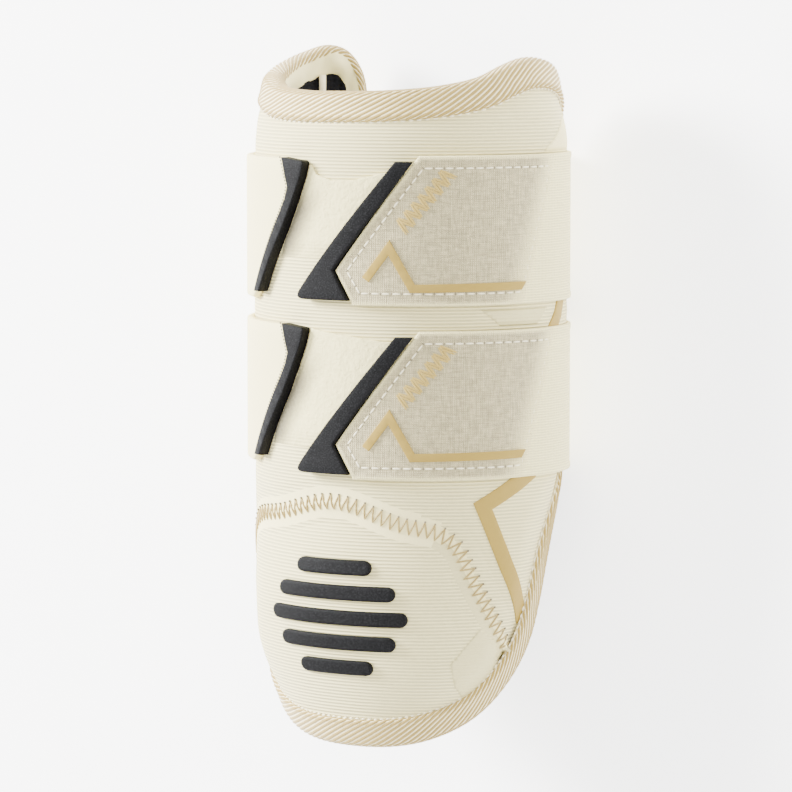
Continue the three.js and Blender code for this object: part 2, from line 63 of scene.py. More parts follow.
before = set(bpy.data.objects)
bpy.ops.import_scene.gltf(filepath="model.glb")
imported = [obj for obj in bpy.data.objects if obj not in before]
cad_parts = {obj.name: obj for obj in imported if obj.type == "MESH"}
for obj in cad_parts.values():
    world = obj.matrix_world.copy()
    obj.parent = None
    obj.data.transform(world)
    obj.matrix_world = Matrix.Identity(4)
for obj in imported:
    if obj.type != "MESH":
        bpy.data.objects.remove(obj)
CAD_LOW, CAD_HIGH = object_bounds()

# The guard's section and layout, in millimetres, as the solids have them
GUARD_LENGTH = 232.0
FRONT_RADIUS = 55.5
FRONT_HALF_ANGLE = math.radians(75)
FLAP_RADIUS = 34.0
FLAP_ARC = 120.0
BOWL_HEIGHT = 62.0
BOWL_DEPTH = 7.0
PAD_THICKNESS = 8.0
RIM_DROP = 4.5
RIM_ROLL = 22.0
CLEARANCE = 0.45
FRONT_LEG = 9.5
STRAP_WIDTH = 49.0
STRAP_WALL = 1.3
STRAP_BASES = {"upper": 148.6, "lower": 91.3}
ANCHOR_RISES = {"upper": 0.0, "lower": 2.4}
ANCHOR_WALL = 2.6
ANCHOR_BACK_ARC = 76.0
LOOP_WALL = 0.6
TAB_WALL = 1.6
TAB_EDGE_WALL = 2.8
ANCHOR_EDGE_WALL = 3.6
TAB_SEAT = LOOP_WALL + 2 * CLEARANCE
MM = 0.001

FLAP_CENTRE_X = (FRONT_RADIUS - FLAP_RADIUS) * math.sin(FRONT_HALF_ANGLE)
FLAP_CENTRE_Z = (FRONT_RADIUS - FLAP_RADIUS) * math.cos(FRONT_HALF_ANGLE)
FRONT_ARC = FRONT_RADIUS * FRONT_HALF_ANGLE
BACK_ARC = FRONT_ARC + FLAP_RADIUS * (math.pi - FRONT_HALF_ANGLE)
HALF_ROUND = BACK_ARC + FLAP_CENTRE_X

# Where the layout's axis lies in the frame: the strap's left side is as far out as its curve goes
STRAP_REACH = FLAP_CENTRE_X + FLAP_RADIUS + CLEARANCE + STRAP_WALL
SECTION_PLACE = Vector(
    (
        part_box("upper_strap")[0].x / MM + STRAP_REACH,
        CAD_LOW[1] / MM,
        CAD_LOW[2] / MM + FLAP_RADIUS - FLAP_CENTRE_Z + CLEARANCE + STRAP_WALL,
    )
)

# Shares of FLAP_ARC and GUARD_LENGTH, as (out, up)
LOWER_RIM = [
    (0, 0),
    (0.165, 0.003),
    (0.29, 0.014),
    (0.41, 0.036),
    (0.495, 0.064),
    (0.575, 0.106),
    (0.632, 0.155),
    (0.665, 0.207),
    (0.7, 0.262),
    (0.752, 0.311),
    (0.828, 0.353),
    (0.894, 0.408),
    (0.952, 0.49),
    (0.985, 0.58),
    (1, 0.69),
]
UPPER_RIM_RIGHT = [
    (0.985, 0.81),
    (0.962, 0.886),
    (0.905, 0.935),
    (0.805, 0.967),
    (0.7, 0.984),
    (0.6, 0.987),
    (0.52, 0.977),
    (0.43, 0.96),
    (0.3, 0.948),
    (0.15, 0.942),
    (0, 0.94),
]
UPPER_RIM_LEFT = [
    (1, 0.82),
    (1, 0.915),
    (0.98, 0.962),
    (0.93, 0.991),
    (0.86, 1),
    (0.77, 0.991),
    (0.66, 0.977),
    (0.54, 0.964),
    (0.42, 0.957),
    (0.3, 0.945),
    (0.15, 0.94),
]
CAP_SEAM = [
    (-0.62, 0.142),
    (-0.535, 0.203),
    (-0.492, 0.259),
    (-0.45, 0.297),
    (-0.375, 0.321),
    (-0.21, 0.336),
    (0, 0.358),
    (0.195, 0.328),
    (0.3, 0.316),
    (0.35, 0.296),
    (0.395, 0.25),
    (0.46, 0.19),
    (0.565, 0.115),
]

# Edges of a strap's pieces, as (up in shares of STRAP_WIDTH, arc)
TAB_FRONT = [(0, 8.2), (0.23, 2.2), (1, 29.5)]
TAB_EDGE_FRONT = [(0.03, -13.3), (0.96, 22)]
TAB_REAR = [(0, 65.5), (1, 80)]
ANCHOR_FRONT = [(0, -41), (0.05, -37.6), (0.6, -20.5), (0.7, -17.8), (0.78, -16.6), (0.97, -19.6)]
ANCHOR_EDGE_FRONT = [(0.05, -33.4), (0.5, -18.8), (0.68, -14.2), (0.85, -10.6), (0.955, -9.2)]

# The tab's tan line and the landing patch's upper edge, as (arc, up in shares of STRAP_WIDTH)
TAB_LINE = [(12.6, 0.175), (20.1, 0.39), (27.4, 0.118), (65.3, 0.126)]
TAB_LINE_RISES = {"upper": 0.0, "lower": 1.8}
LOOP_TOP = {
    "upper": [(-12, 0.93), (-6, 0.865), (0, 0.828), (8, 0.835), (18, 0.885), (46, 0.9)],
    "lower": [(-12, 1.0), (-4, 0.985), (6, 0.96), (18, 0.925), (46, 0.9)],
}
LOOP_LOW = {"upper": 0.3, "lower": 0.19}

# What lies on the padding, as (arc, up)
SIDE_LINE = [(70.5, 93.2), (50.7, 82.2), (59.4, 62), (69.2, 42.6)]
SIDE_DASH = [(87, 150.5), (80, 139)]
TONAL_PATCHES = {
    "tonal_top": [(75.5, 198.6), (80, 202.5), (86, 208), (93, 211), (93, 198.6)],
    "tonal_middle": [(50, 147), (77, 147), (72, 141.5), (57, 141.5)],
    "tonal_cap": [(40, 30), (50, 41), (58, 36), (58, 25), (48, 15), (42, 22)],
}
CAP_RIB_HALF_LENGTHS = [14, 22, 26, 22, 14]
CAP_RIB_PITCH = 8.4
CAP_RIB_CENTRE_UP = 45.0


def linear(code):
    """An sRGB hex colour as linear red, green and blue."""
    parts = [int(code[i : i + 2], 16) / 255 for i in (1, 3, 5)]
    return tuple(c / 12.92 if c <= 0.04045 else ((c + 0.055) / 1.055) ** 2.4 for c in parts)


class GuardColours(bpy.types.PropertyGroup):
    """Colours of the guard's finishes."""

    knit: FloatVectorProperty(
        name="Knit", description="Ribbed knit cover", subtype="COLOR", default=linear("#F5E8A8")
    )
    webbing: FloatVectorProperty(
        name="Webbing", description="Tabs and straps", subtype="COLOR", default=linear("#D2C596")
    )
    tan: FloatVectorProperty(
        name="Tan", description="Lines, threads and tape cords", subtype="COLOR",
        default=linear("#A0863C"),
    )
    rubber: FloatVectorProperty(
        name="Rubber", description="Moulded edges and ribs", subtype="COLOR",
        default=linear("#0B0B0C"),
    )


class GuardSizes(bpy.types.PropertyGroup):
    """Sizes of the guard's surface detail."""

    knit_pitch: FloatProperty(
        name="Knit rib spacing", description="From one knit rib to the next",
        default=0.00115, unit="LENGTH", precision=5,
    )
    cord_pitch: FloatProperty(
        name="Edge cord spacing", description="From one cord of the edge tape to the next",
        default=0.0034, unit="LENGTH", precision=5,
    )
    zigzag_pitch: FloatProperty(
        name="Zigzag spacing", description="One full zigzag of the cap's seam",
        default=0.0031, unit="LENGTH", precision=5,
    )
    zigzag_width: FloatProperty(
        name="Zigzag width", description="Width of the cap's seam stitching",
        default=0.0053, unit="LENGTH", precision=5,
    )
    stitch_pitch: FloatProperty(
        name="Topstitch spacing", description="From one straight stitch to the next",
        default=0.0033, unit="LENGTH", precision=5,
    )
    cloth_frames: IntProperty(
        name="Cloth frames", description="Frames that the padding is inflated for", default=20
    )


# Layout and bending


def draw_in(up):
    share = min(max(1 - up / BOWL_HEIGHT, 0), 1)
    return BOWL_DEPTH * (1 - math.cos(share * math.pi / 2))


def on_guard(arc, up, off):
    """The frame's point, in metres, of a layout place in millimetres."""
    if arc < -HALF_ROUND:
        arc += 2 * HALF_ROUND
    side = -1 if arc < 0 else 1
    run = abs(arc)
    reach = off - draw_in(up)
    if run <= FRONT_ARC:
        turn = run / FRONT_RADIUS
        x = (FRONT_RADIUS + reach) * math.sin(turn)
        z = (FRONT_RADIUS + reach) * math.cos(turn)
    elif run <= BACK_ARC:
        turn = FRONT_HALF_ANGLE + (run - FRONT_ARC) / FLAP_RADIUS
        x = FLAP_CENTRE_X + (FLAP_RADIUS + reach) * math.sin(turn)
        z = FLAP_CENTRE_Z + (FLAP_RADIUS + reach) * math.cos(turn)
    else:
        x = HALF_ROUND - run
        z = FLAP_CENTRE_Z - FLAP_RADIUS - reach
    return (Vector((side * x, up, z)) + SECTION_PLACE) * MM


def layout_of(co):
    """The layout place of a point of the padding in the frame."""
    x, up, z = co / MM - SECTION_PLACE
    side = -1 if x < 0 else 1
    turn = math.atan2(abs(x), z)
    if turn <= FRONT_HALF_ANGLE:
        return Vector((side * turn * FRONT_RADIUS, up, math.hypot(x, z) - FRONT_RADIUS + draw_in(up)))
    dx = abs(x) - FLAP_CENTRE_X
    dz = z - FLAP_CENTRE_Z
    arc = FRONT_ARC + (math.atan2(dx, dz) - FRONT_HALF_ANGLE) * FLAP_RADIUS
    return Vector((side * arc, up, math.hypot(dx, dz) - FLAP_RADIUS + draw_in(up)))


def smoothstep(value, low, high):
    t = min(max((value - low) / (high - low), 0), 1)
    return t * t * (3 - 2 * t)


def table_at(rows, up):
    """Reads a table of (up, arc) rows."""
    for (u0, a0), (u1, a1) in zip(rows, rows[1:]):
        if up <= u1:
            return a0 + (a1 - a0) * max(up - u0, 0) / (u1 - u0)
    return rows[-1][1]


PATH_SAMPLES = 24
MITRE_LIMIT = 0.3
HEM_SLOPE = 0.5
SEAT_START = 12.0
SEAT_REACH = 0.03


def smooth_path(rows, closed):
    """A centripetal curve through places of the layout, as closely spaced points."""
    count = len(rows)
    path = []
    for i in range(count if closed else count - 1):
        p1, p2 = rows[i], rows[(i + 1) % count]
        p0 = rows[i - 1] if closed or i else 2 * p1 - p2
        p3 = rows[(i + 2) % count] if closed or i < count - 2 else 2 * p2 - p1
        d0, d1, d2 = ((b - a).length ** 0.5 for a, b in ((p0, p1), (p1, p2), (p2, p3)))
        t1 = ((p1 - p0) / d0 - (p2 - p0) / (d0 + d1) + (p2 - p1) / d1) * d1
        t2 = ((p2 - p1) / d1 - (p3 - p1) / (d1 + d2) + (p3 - p2) / d2) * d1
        for k in range(PATH_SAMPLES):
            t = k / PATH_SAMPLES
            path.append(
                p1 * (2 * t**3 - 3 * t**2 + 1)
                + t1 * (t**3 - 2 * t**2 + t)
                + p2 * (3 * t**2 - 2 * t**3)
                + t2 * (t**3 - t**2)
            )
    return path if closed else path + [rows[-1]]


def evenly(path, spacing, closed=False):
    """Points along a path at an even spacing close to the one asked for, as (point, direction)."""
    ring = path + [path[0]] if closed else path
    runs = [0.0]
    for a, b in zip(ring, ring[1:]):
        runs.append(runs[-1] + (b - a).length)
    steps = max(1, round(runs[-1] / spacing))
    found = []
    i = 0
    for k in range(steps if closed else steps + 1):
        target = runs[-1] * k / steps
        while i < len(ring) - 2 and runs[i + 1] < target:
            i += 1
        span = ring[i + 1] - ring[i]
        found.append((ring[i] + span * (target - runs[i]) / span.length, span.normalized()))
    return found


def share_points(rows, side=1):
    return [Vector((side * out * FLAP_ARC, up * GUARD_LENGTH)) for out, up in rows]


RIM = smooth_path(
    share_points(LOWER_RIM)
    + share_points(UPPER_RIM_RIGHT)
    + share_points(UPPER_RIM_LEFT, -1)[::-1]
    + share_points(LOWER_RIM[1:], -1)[::-1],
    closed=True,
)
SEAM = smooth_path(share_points(CAP_SEAM), closed=False)
RIM_STATIONS = evenly(RIM, 1.0, closed=True)
RIM_TREE = KDTree(len(RIM_STATIONS))
for number, (place, _) in enumerate(RIM_STATIONS):
    RIM_TREE.insert(place.to_3d(), number)
RIM_TREE.balance()


def from_rim(place):
    """How far in from the rim a place of the layout lies."""
    return RIM_TREE.find(place.to_3d())[2]


def left_of(direction):
    """The direction turned a quarter to the left; inwards, for the rim's own."""
    return Vector((-direction.y, direction.x))


def new_piece(name, bm, kind, slot, *nodes):
    """Links a mesh in one finish as a piece that rides on the guard and stands for CAD nodes."""
    for face in bm.faces:
        face.smooth = True
    mesh = bpy.data.meshes.new(name)
    bm.to_mesh(mesh)
    bm.free()
    mesh.materials.append(finish(kind))
    piece = bpy.data.objects.new(name, mesh)
    bpy.context.scene.collection.objects.link(piece)
    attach(piece, "root")
    if nodes:
        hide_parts(*nodes)
    return piece


def keep_flat_uv(bm):
    """Stores the layout in metres as the piece's own UV map, for weaves that follow the cloth."""
    uv = bm.loops.layers.uv.new("layout")
    for face in bm.faces:
        for loop in face.loops:
            loop[uv].uv = (loop.vert.co.x * MM, loop.vert.co.y * MM)


def paint(piece, name, share):
    """Stores a share, from a function of (arc, up), at each vertex, for a material to read."""
    layer = piece.data.attributes.new(name, "FLOAT", "POINT")
    layout = piece.data.uv_layers["layout"].uv
    for loop in piece.data.loops:
        arc, up = layout[loop.index].vector / MM
        layer.data[loop.vertex_index].value = share(arc, up)


SURFACES = []


def seat_at(arc, up):
    """How far the finished padding stands off at a place of the layout."""
    start = on_guard(arc, up, SEAT_START)
    heading = (on_guard(arc, up, 0) - start).normalized()
    hits = [tree.ray_cast(start, heading, SEAT_REACH)[3] for tree in SURFACES]
    hits = [hit for hit in hits if hit is not None]
    return SEAT_START - min(hits) / MM if hits else 0.0


def wrap(bm, on_padding=False, rise=None):
    """Bends a flat pattern round the guard, with an optional rise from a function of (arc, up)."""
    for vert in bm.verts:
        arc, up, off = vert.co
        if rise:
            off += rise(arc, up)
        vert.co = on_guard(arc, up, off + (seat_at(arc, up) if on_padding else 0))


def slice_across(bm, axis, spacing):
    """Cuts a pattern by parallel planes, so that it can bend."""
    values = [v.co[axis] for v in bm.verts]
    low, high = min(values), max(values)
    normal = Vector((0, 0, 0))
    normal[axis] = 1
    steps = int((high - low) / spacing)
    for k in range(1, steps + 1):
        place = normal * (low + (high - low) * k / (steps + 1))
        bmesh.ops.bisect_plane(
            bm, geom=bm.verts[:] + bm.edges[:] + bm.faces[:], plane_co=place, plane_no=normal,
            dist=1e-4,
        )


def thicken(bm, wall):
    """Gives an open sheet its thickness, downwards in the layout."""
    grown = bmesh.ops.extrude_face_region(bm, geom=bm.faces[:])["geom"]
    lower = [g for g in grown if isinstance(g, bmesh.types.BMVert)]
    bmesh.ops.translate(bm, verts=lower, vec=(0, 0, -wall))


def cut_pattern(outline, low, high, edge_round, hem=None, segments=2):
    """A flat piece with the outline given, rounded along its upper edge, with an optional hem."""
    bm = bmesh.new()
    face = bm.faces.new([bm.verts.new((x, y, low)) for x, y in outline])
    if face.normal.z == 0:
        face.normal_update()
    if face.normal.z < 0:
        face.normal_flip()
    grown = bmesh.ops.extrude_face_region(bm, geom=[face])["geom"]
    top = [g for g in grown if isinstance(g, bmesh.types.BMFace)]
    bmesh.ops.translate(bm, verts=top[0].verts[:], vec=(0, 0, high - low))
    bmesh.ops.recalc_face_normals(bm, faces=bm.faces)
    if hem:
        width, sink = hem
        bmesh.ops.inset_region(bm, faces=top, thickness=width, depth=0, use_even_offset=True)
        bmesh.ops.inset_region(bm, faces=top, thickness=HEM_SLOPE, depth=-sink, use_even_offset=True)
    if edge_round:
        rim_edges = [
            e for e in bm.edges
            if all(abs(v.co.z - high) < 1e-6 for v in e.verts)
            and any(abs(f.normal.z) < 0.5 for f in e.link_faces)
        ]
        bmesh.ops.bevel(
            bm, geom=rim_edges, offset=edge_round, segments=segments, profile=0.5,
            affect="EDGES", material=-1, clamp_overlap=True,
        )
    return bm


def outline_between(front, rear, ups, base):
    """A strap piece's outline from its front and rear edges, each a table of (up, arc)."""
    left = [(table_at(front, up), base + up * STRAP_WIDTH) for up in ups]
    right = [(table_at(rear, up), base + up * STRAP_WIDTH) for up in ups]
    return right + left[::-1]


def line_outline(places, width):
    """The outline of a mitred line through places of the layout."""
    left, right = [], []
    points = [Vector(p) for p in places]
    for k, point in enumerate(points):
        incoming = (point - points[k - 1]).normalized() if k else None
        outgoing = (points[k + 1] - point).normalized() if k < len(points) - 1 else None
        incoming, outgoing = incoming or outgoing, outgoing or incoming
        mean = (incoming + outgoing).normalized()
        half = width / 2 / max(mean.dot(outgoing), MITRE_LIMIT)
        left.append(point + left_of(mean) * half)
        right.append(point - left_of(mean) * half)
    return right + left[::-1]


def add_stitch(bm, start, end, radius, lift=0.0):
    """One short thread from start to end in the layout, thickest in its middle."""
    start, end = Vector((*start, lift)), Vector((*end, lift))
    span = end - start
    turn = span.to_track_quat("Z", "Y").to_matrix().to_4x4()
    size = Matrix.Diagonal((radius, radius, span.length / 2 + radius * 0.5, 1))
    place = Matrix.Translation((start + end) / 2)
    bmesh.ops.create_uvsphere(bm, u_segments=6, v_segments=5, radius=1, matrix=place @ turn @ size)


# Materials


def add_node(tree, kind, settings=None, links=None, **attributes):
    """Adds a node with its attributes, its socket values and its incoming links."""
    node = tree.nodes.new(kind)
    for name, value in attributes.items():
        setattr(node, name, value)
    for key, value in (settings or {}).items():
        node.inputs[key].default_value = value
    for key, source in (links or {}).items():
        tree.links.new(source, node.inputs[key])
    return node


def new_material(name, roughness, sheen=0.0, ior=1.5):
    material = bpy.data.materials.new(name)
    material.use_nodes = True
    tree = material.node_tree
    shader = tree.nodes["Principled BSDF"]
    shader.inputs["Roughness"].default_value = roughness
    shader.inputs["IOR"].default_value = ior
    shader.inputs["Sheen Weight"].default_value = sheen
    shader.inputs["Sheen Roughness"].default_value = 0.6
    return material, tree, shader


def object_place(tree):
    return add_node(tree, "ShaderNodeTexCoord").outputs["Object"]


def layout_place(tree):
    return add_node(tree, "ShaderNodeUVMap", uv_map="layout").outputs["UV"]


# Bands that the wave texture lays in one metre at a scale of one
WAVES_PER_METRE = 20 / (2 * math.pi)


def waves(tree, place, direction, pitch, distortion=0.0):
    """Even ribs across one direction, one for each pitch."""
    return add_node(
        tree, "ShaderNodeTexWave",
        {"Scale": 1 / pitch / WAVES_PER_METRE, "Distortion": distortion, "Detail": 0.0},
        {"Vector": place},
        wave_type="BANDS", bands_direction=direction, wave_profile="SIN",
    ).outputs["Fac"]


def speckle(tree, place, size, detail=2.0):
    return add_node(
        tree, "ShaderNodeTexNoise", {"Scale": 1 / size, "Detail": detail, "Roughness": 0.6},
        {"Vector": place},
    ).outputs["Fac"]


def between(tree, factor, dark, light):
    """Blends two colours, given as linear triples, by a factor."""
    ramp = add_node(tree, "ShaderNodeValToRGB", links={"Fac": factor})
    ramp.color_ramp.elements[0].color = (*dark, 1)
    ramp.color_ramp.elements[1].color = (*light, 1)
    return ramp.outputs["Color"]


def tinted(colour, share):
    return tuple(min(c * share, 1) for c in colour)


def mixed(tree, mode, factor, first, second):
    node = add_node(tree, "ShaderNodeMix", data_type="RGBA", blend_type=mode)
    node.inputs[0].default_value = factor
    tree.links.new(first, node.inputs[6])
    tree.links.new(second, node.inputs[7])
    return node.outputs[2]


def blended(tree, share, first, second):
    """The first colour, giving way to the second by a share from another node."""
    node = add_node(tree, "ShaderNodeMix", links={0: share, 6: first, 7: second}, data_type="RGBA")
    return node.outputs[2]


def multiplied(tree, first, second):
    return add_node(
        tree, "ShaderNodeMath", links={0: first, 1: second}, operation="MULTIPLY"
    ).outputs[0]


def stretched(tree, factor, low, high):
    """A factor with its values from low to high stretched over the whole of 0 to 1."""
    return add_node(
        tree, "ShaderNodeMapRange", {"From Min": low, "From Max": high}, {"Value": factor}
    ).outputs["Result"]


def painted(tree, name):
    """A share that paint() stored at the piece's vertices."""
    return add_node(tree, "ShaderNodeAttribute", attribute_name=name).outputs["Fac"]


def finish_surface(tree, shader, colour, heights):
    """Links a colour, and a bump for each (height, distance in metres) given."""
    tree.links.new(colour, shader.inputs["Base Color"])
    normal = None
    for height, distance in heights:
        settings = {"Distance": distance, "Strength": 1.0}
        bump = add_node(tree, "ShaderNodeBump", settings, {"Height": height})
        if normal:
            tree.links.new(normal, bump.inputs["Normal"])
        normal = bump.outputs["Normal"]
    if normal:
        tree.links.new(normal, shader.inputs["Normal"])


def grained_material(name, roughness, dark, light, grain, depth, **shine):
    """A finish of one grain, given as its (size, detail), in two colours and with a slight relief."""
    material, tree, shader = new_material(name, roughness, **shine)
    factor = speckle(tree, object_place(tree), *grain)
    finish_surface(tree, shader, between(tree, factor, dark, light), [(factor, depth)])
    return material


# Pitches of the cloths' own threads, in metres
ELASTIC_RIB = 0.00085
ELASTIC_WALE = 0.0016
WEAVE_PITCH = 0.0007
SLUB_SIZE = 0.0008
MESH_PITCH = 0.0017


def knit_material(colours, sizes):
    """Ribbed polyester knit: fine ribs across the guard that catch soft light, with painted shade in
    their hollows, and yarn fuzz.
    """
    material, tree, shader = new_material("ribbed_knit", 0.82, sheen=0.25)
    place = object_place(tree)
    ribs = waves(tree, place, "Y", sizes.knit_pitch, 0.25)
    yarn = speckle(tree, place, 0.0009, 3.0)
    cloudy = speckle(tree, place, 0.03, 1.0)
    # Painted shade: the rib hollows are coloured darker than the crests
    base = between(tree, ribs, tinted(colours.knit, 0.66), tinted(colours.knit, 1.08))
    soft = between(tree, cloudy, tinted((1, 1, 1), 0.95), (1, 1, 1))
    finish_surface(
        tree, shader, mixed(tree, "MULTIPLY", 1.0, base, soft), [(ribs, 0.0003), (yarn, 0.00006)]
    )
    return material


def pressed_knit_material(colours):
    """Heat-pressed knit: the same cloth pressed smooth, so it loses its ribs and looks finer."""
    return grained_material(
        "pressed_knit", 0.7, tinted(colours.knit, 0.93), tinted(colours.knit, 1.0),
        (0.0007, 3.0), 0.00005, sheen=0.15,
    )


def tonal_material(colours, sizes):
    """Tone-on-tone transfer film on the knit: slightly greyer and smoother."""
    material, tree, shader = new_material("tonal_film", 0.6)
    place = object_place(tree)
    grain = speckle(tree, place, 0.0012, 2.0)
    ribs = waves(tree, place, "Y", sizes.knit_pitch)
    base = between(tree, grain, tinted(colours.knit, 0.68), tinted(colours.knit, 0.78))
    finish_surface(tree, shader, base, [(ribs, 0.00012), (grain, 0.00004)])
    return material


def webbing_material(colours):
    """Woven polyester webbing: a plain weave of slightly uneven threads, with cream ribbed edges."""
    material, tree, shader = new_material("woven_webbing", 0.8, sheen=0.15)
    place = layout_place(tree)
    warp = waves(tree, place, "X", WEAVE_PITCH, 0.8)
    weft = waves(tree, place, "Y", WEAVE_PITCH, 0.8)
    weave = multiplied(tree, warp, weft)
    slubs = []
    for stretch in ((0.18, 1, 1), (1, 0.18, 1)):
        drawn = add_node(tree, "ShaderNodeMapping", {"Scale": stretch}, {"Vector": place})
        slubs.append(speckle(tree, drawn.outputs["Vector"], SLUB_SIZE))
    slub = stretched(tree, multiplied(tree, *slubs), 0.12, 0.4)
    base = between(tree, slub, tinted(colours.webbing, 0.62), tinted(colours.webbing, 1.12))
    shade = between(tree, weave, (0.7, 0.69, 0.67), (1, 1, 1))
    woven = mixed(tree, "MULTIPLY", 1.0, base, shade)
    ribs = waves(tree, place, "Y", ELASTIC_RIB, 0.2)
    # Painted shade: the cream ribs' hollows are coloured darker
    cream = between(tree, ribs, tinted(colours.knit, 0.8), tinted(colours.knit, 1.0))
    base = blended(tree, painted(tree, "cream"), woven, cream)
    finish_surface(tree, shader, base, [(weave, 0.00018), (slub, 0.00012)])
    return material


def elastic_material(colours):
    """Knitted elastic: close ribs across the strap, with painted shade in the hollows between them."""
    material, tree, shader = new_material("ribbed_elastic", 0.82, sheen=0.2)
    place = layout_place(tree)
    ribs = waves(tree, place, "Y", ELASTIC_RIB, 0.2)
    wales = waves(tree, place, "X", ELASTIC_WALE, 0.6)
    # Painted shade: the hollows between the ribs are coloured darker
    base = between(tree, ribs, tinted(colours.knit, 0.82), tinted(colours.knit, 1.12))
    finish_surface(tree, shader, base, [(ribs, 0.00016), (wales, 0.00005)])
    return material


def pile_material(colours, sizes):
    """Brushed loop pile: a dense fuzz that scatters light, worn to the knit where painted, with a
    painted shadow by the moulding.
    """
    material, tree, shader = new_material("brushed_pile", 0.95, sheen=0.12)
    place = object_place(tree)
    fuzz = speckle(tree, place, 0.0012, 6.0)
    tufts = speckle(tree, place, 0.004, 3.0)
    pile = between(tree, fuzz, tinted(colours.knit, 0.8), tinted(colours.knit, 1.12))
    # Painted shadow: the pile's colour where the anchor moulding would shade it
    turned = between(tree, fuzz, tinted(colours.webbing, 0.14), tinted(colours.webbing, 0.3))
    ribs = waves(tree, place, "Y", sizes.knit_pitch, 0.25)
    # Painted shade: the worn knit's rib hollows are coloured darker
    knit = between(tree, ribs, tinted(colours.knit, 0.7), tinted(colours.knit, 1.0))
    base = blended(tree, painted(tree, "thin"), pile, knit)
    # Darkens the pile with the painted shadow beside the anchor moulding
    base = blended(tree, painted(tree, "moulding_shadow"), base, turned)
    finish_surface(tree, shader, base, [(fuzz, 0.0004), (tufts, 0.0005)])
    return material


def tape_material():
    """Twill edge tape: cream ground between the tan cords."""
    return grained_material(
        "twill_tape", 0.8, linear("#F2E2AE"), linear("#FFF2C8"), (0.0005, 3.0), 0.0001, sheen=0.2
    )


def cord_material(colours):
    """Tan polyester cord: spun yarn with a soft, slightly uneven colour."""
    return grained_material(
        "tan_cord", 0.72, tinted(colours.tan, 0.86), tinted(colours.tan, 1.16),
        (0.0006, 3.0), 0.00008, sheen=0.2,
    )


def thread_material(name, dull, bright):
    """Filament polyester embroidery thread: a soft sheen, with slight changes along each stitch."""
    return grained_material(
        name, 0.5, linear(dull), linear(bright), (0.0005, 3.0), 0.00006, sheen=0.2
    )


def cream_thread_material():
    """Cream polyester thread: smooth and slightly bright against the cloth."""
    return grained_material(
        "cream_thread", 0.55, linear("#EFE4BE"), linear("#FBF3D4"), (0.0004, 2.0), 0.00004, sheen=0.2
    )


def transfer_material(colours):
    """Raised silicone transfer: satin tan, nearly flat in colour, with a soft highlight."""
    return grained_material(
        "tan_transfer", 0.5, tinted(colours.tan, 0.92), tinted(colours.tan, 1.02),
        (0.002, 2.0), 0.00003, ior=1.3,
    )


def rubber_material(colours):
    """Moulded TPU: near black, with a fine spark-eroded grain that breaks up its highlights."""
    material, tree, shader = new_material("grained_rubber", 0.7, ior=1.2)
    place = object_place(tree)
    grain = speckle(tree, place, 0.00045, 2.0)
    grit = stretched(tree, grain, 0.45, 0.75)
    base = between(tree, grit, tinted(colours.rubber, 1.0), tinted(colours.rubber, 5.0))
    finish_surface(tree, shader, base, [(grain, 0.00008)])
    return material


def mesh_material():
    """Open spacer mesh: black yarn round small round holes, which look darker than the yarn by painted
    shade.
    """
    material, tree, shader = new_material("spacer_mesh", 0.9, ior=1.2)
    place = object_place(tree)
    shaded_holes = add_node(
        tree, "ShaderNodeTexVoronoi", {"Scale": 1 / MESH_PITCH, "Randomness": 0.25}, {"Vector": place}
    ).outputs["Distance"]
    # Painted shade: the holes are coloured darker than the yarn round them
    base = between(tree, shaded_holes, linear("#020202"), linear("#17171A"))
    finish_surface(tree, shader, base, [(shaded_holes, 0.0003)])
    return material


def floor_material():
    """Matt white paper sweep that glows evenly, so that it stays white and lights the edges."""
    material, tree, shader = new_material("paper_sweep", 0.9)
    shader.inputs["Emission Color"].default_value = (1, 1, 1, 1)
    shader.inputs["Emission Strength"].default_value = 2.6
    base = between(tree, speckle(tree, object_place(tree), 0.05, 1.0), linear("#FAFAFA"), (1, 1, 1))
    finish_surface(tree, shader, base, [])
    return material


def finish(kind):
    """The material of that name, made once from the scene's colours and sizes."""
    colours = bpy.context.scene.guard_colours
    sizes = bpy.context.scene.guard_sizes
    makers = {
        "ribbed_knit": lambda: knit_material(colours, sizes),
        "pressed_knit": lambda: pressed_knit_material(colours),
        "tonal_film": lambda: tonal_material(colours, sizes),
        "woven_webbing": lambda: webbing_material(colours),
        "ribbed_elastic": lambda: elastic_material(colours),
        "brushed_pile": lambda: pile_material(colours, sizes),
        "twill_tape": tape_material,
        "tan_cord": lambda: cord_material(colours),
        "cream_thread": cream_thread_material,
        "olive_thread": lambda: thread_material("olive_thread", "#877032", "#B39A52"),
        "gold_thread": lambda: thread_material("gold_thread", "#9E8436", "#C6AA50"),
        # Dark colour of the pieces that stand for needle holes: their painted shadows
        "needle_hole_shadows": lambda: thread_material("needle_hole_shadows", "#4A432F", "#7A7050"),
        "tan_transfer": lambda: transfer_material(colours),
        "grained_rubber": lambda: rubber_material(colours),
        "spacer_mesh": mesh_material,
        "paper_sweep": floor_material,
    }
    return bpy.data.materials.get(kind) or makers[kind]()


# Padding


def merged_copy(node):
    """A CAD node's mesh with its triangles merged and paired into quads."""
    bm = bmesh.new()
    bm.from_mesh(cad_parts[node].data)
    bmesh.ops.remove_doubles(bm, verts=bm.verts, dist=2e-6)
    bmesh.ops.join_triangles(
        bm, faces=bm.faces, cmp_seam=False, angle_face_threshold=0.7, angle_shape_threshold=1.2
    )
    return bm


def apply_modifiers(piece):
    depsgraph = bpy.context.evaluated_depsgraph_get()
    mesh = bpy.data.meshes.new_from_object(piece.evaluated_get(depsgraph))
    piece.modifiers.clear()
    old = piece.data
    piece.data = mesh
    bpy.data.meshes.remove(old)
    mesh.name = piece.name


def add_subdivision(piece, levels):
    modifier = piece.modifiers.new("smooth", "SUBSURF")
    modifier.levels = levels
    modifier.render_levels = levels


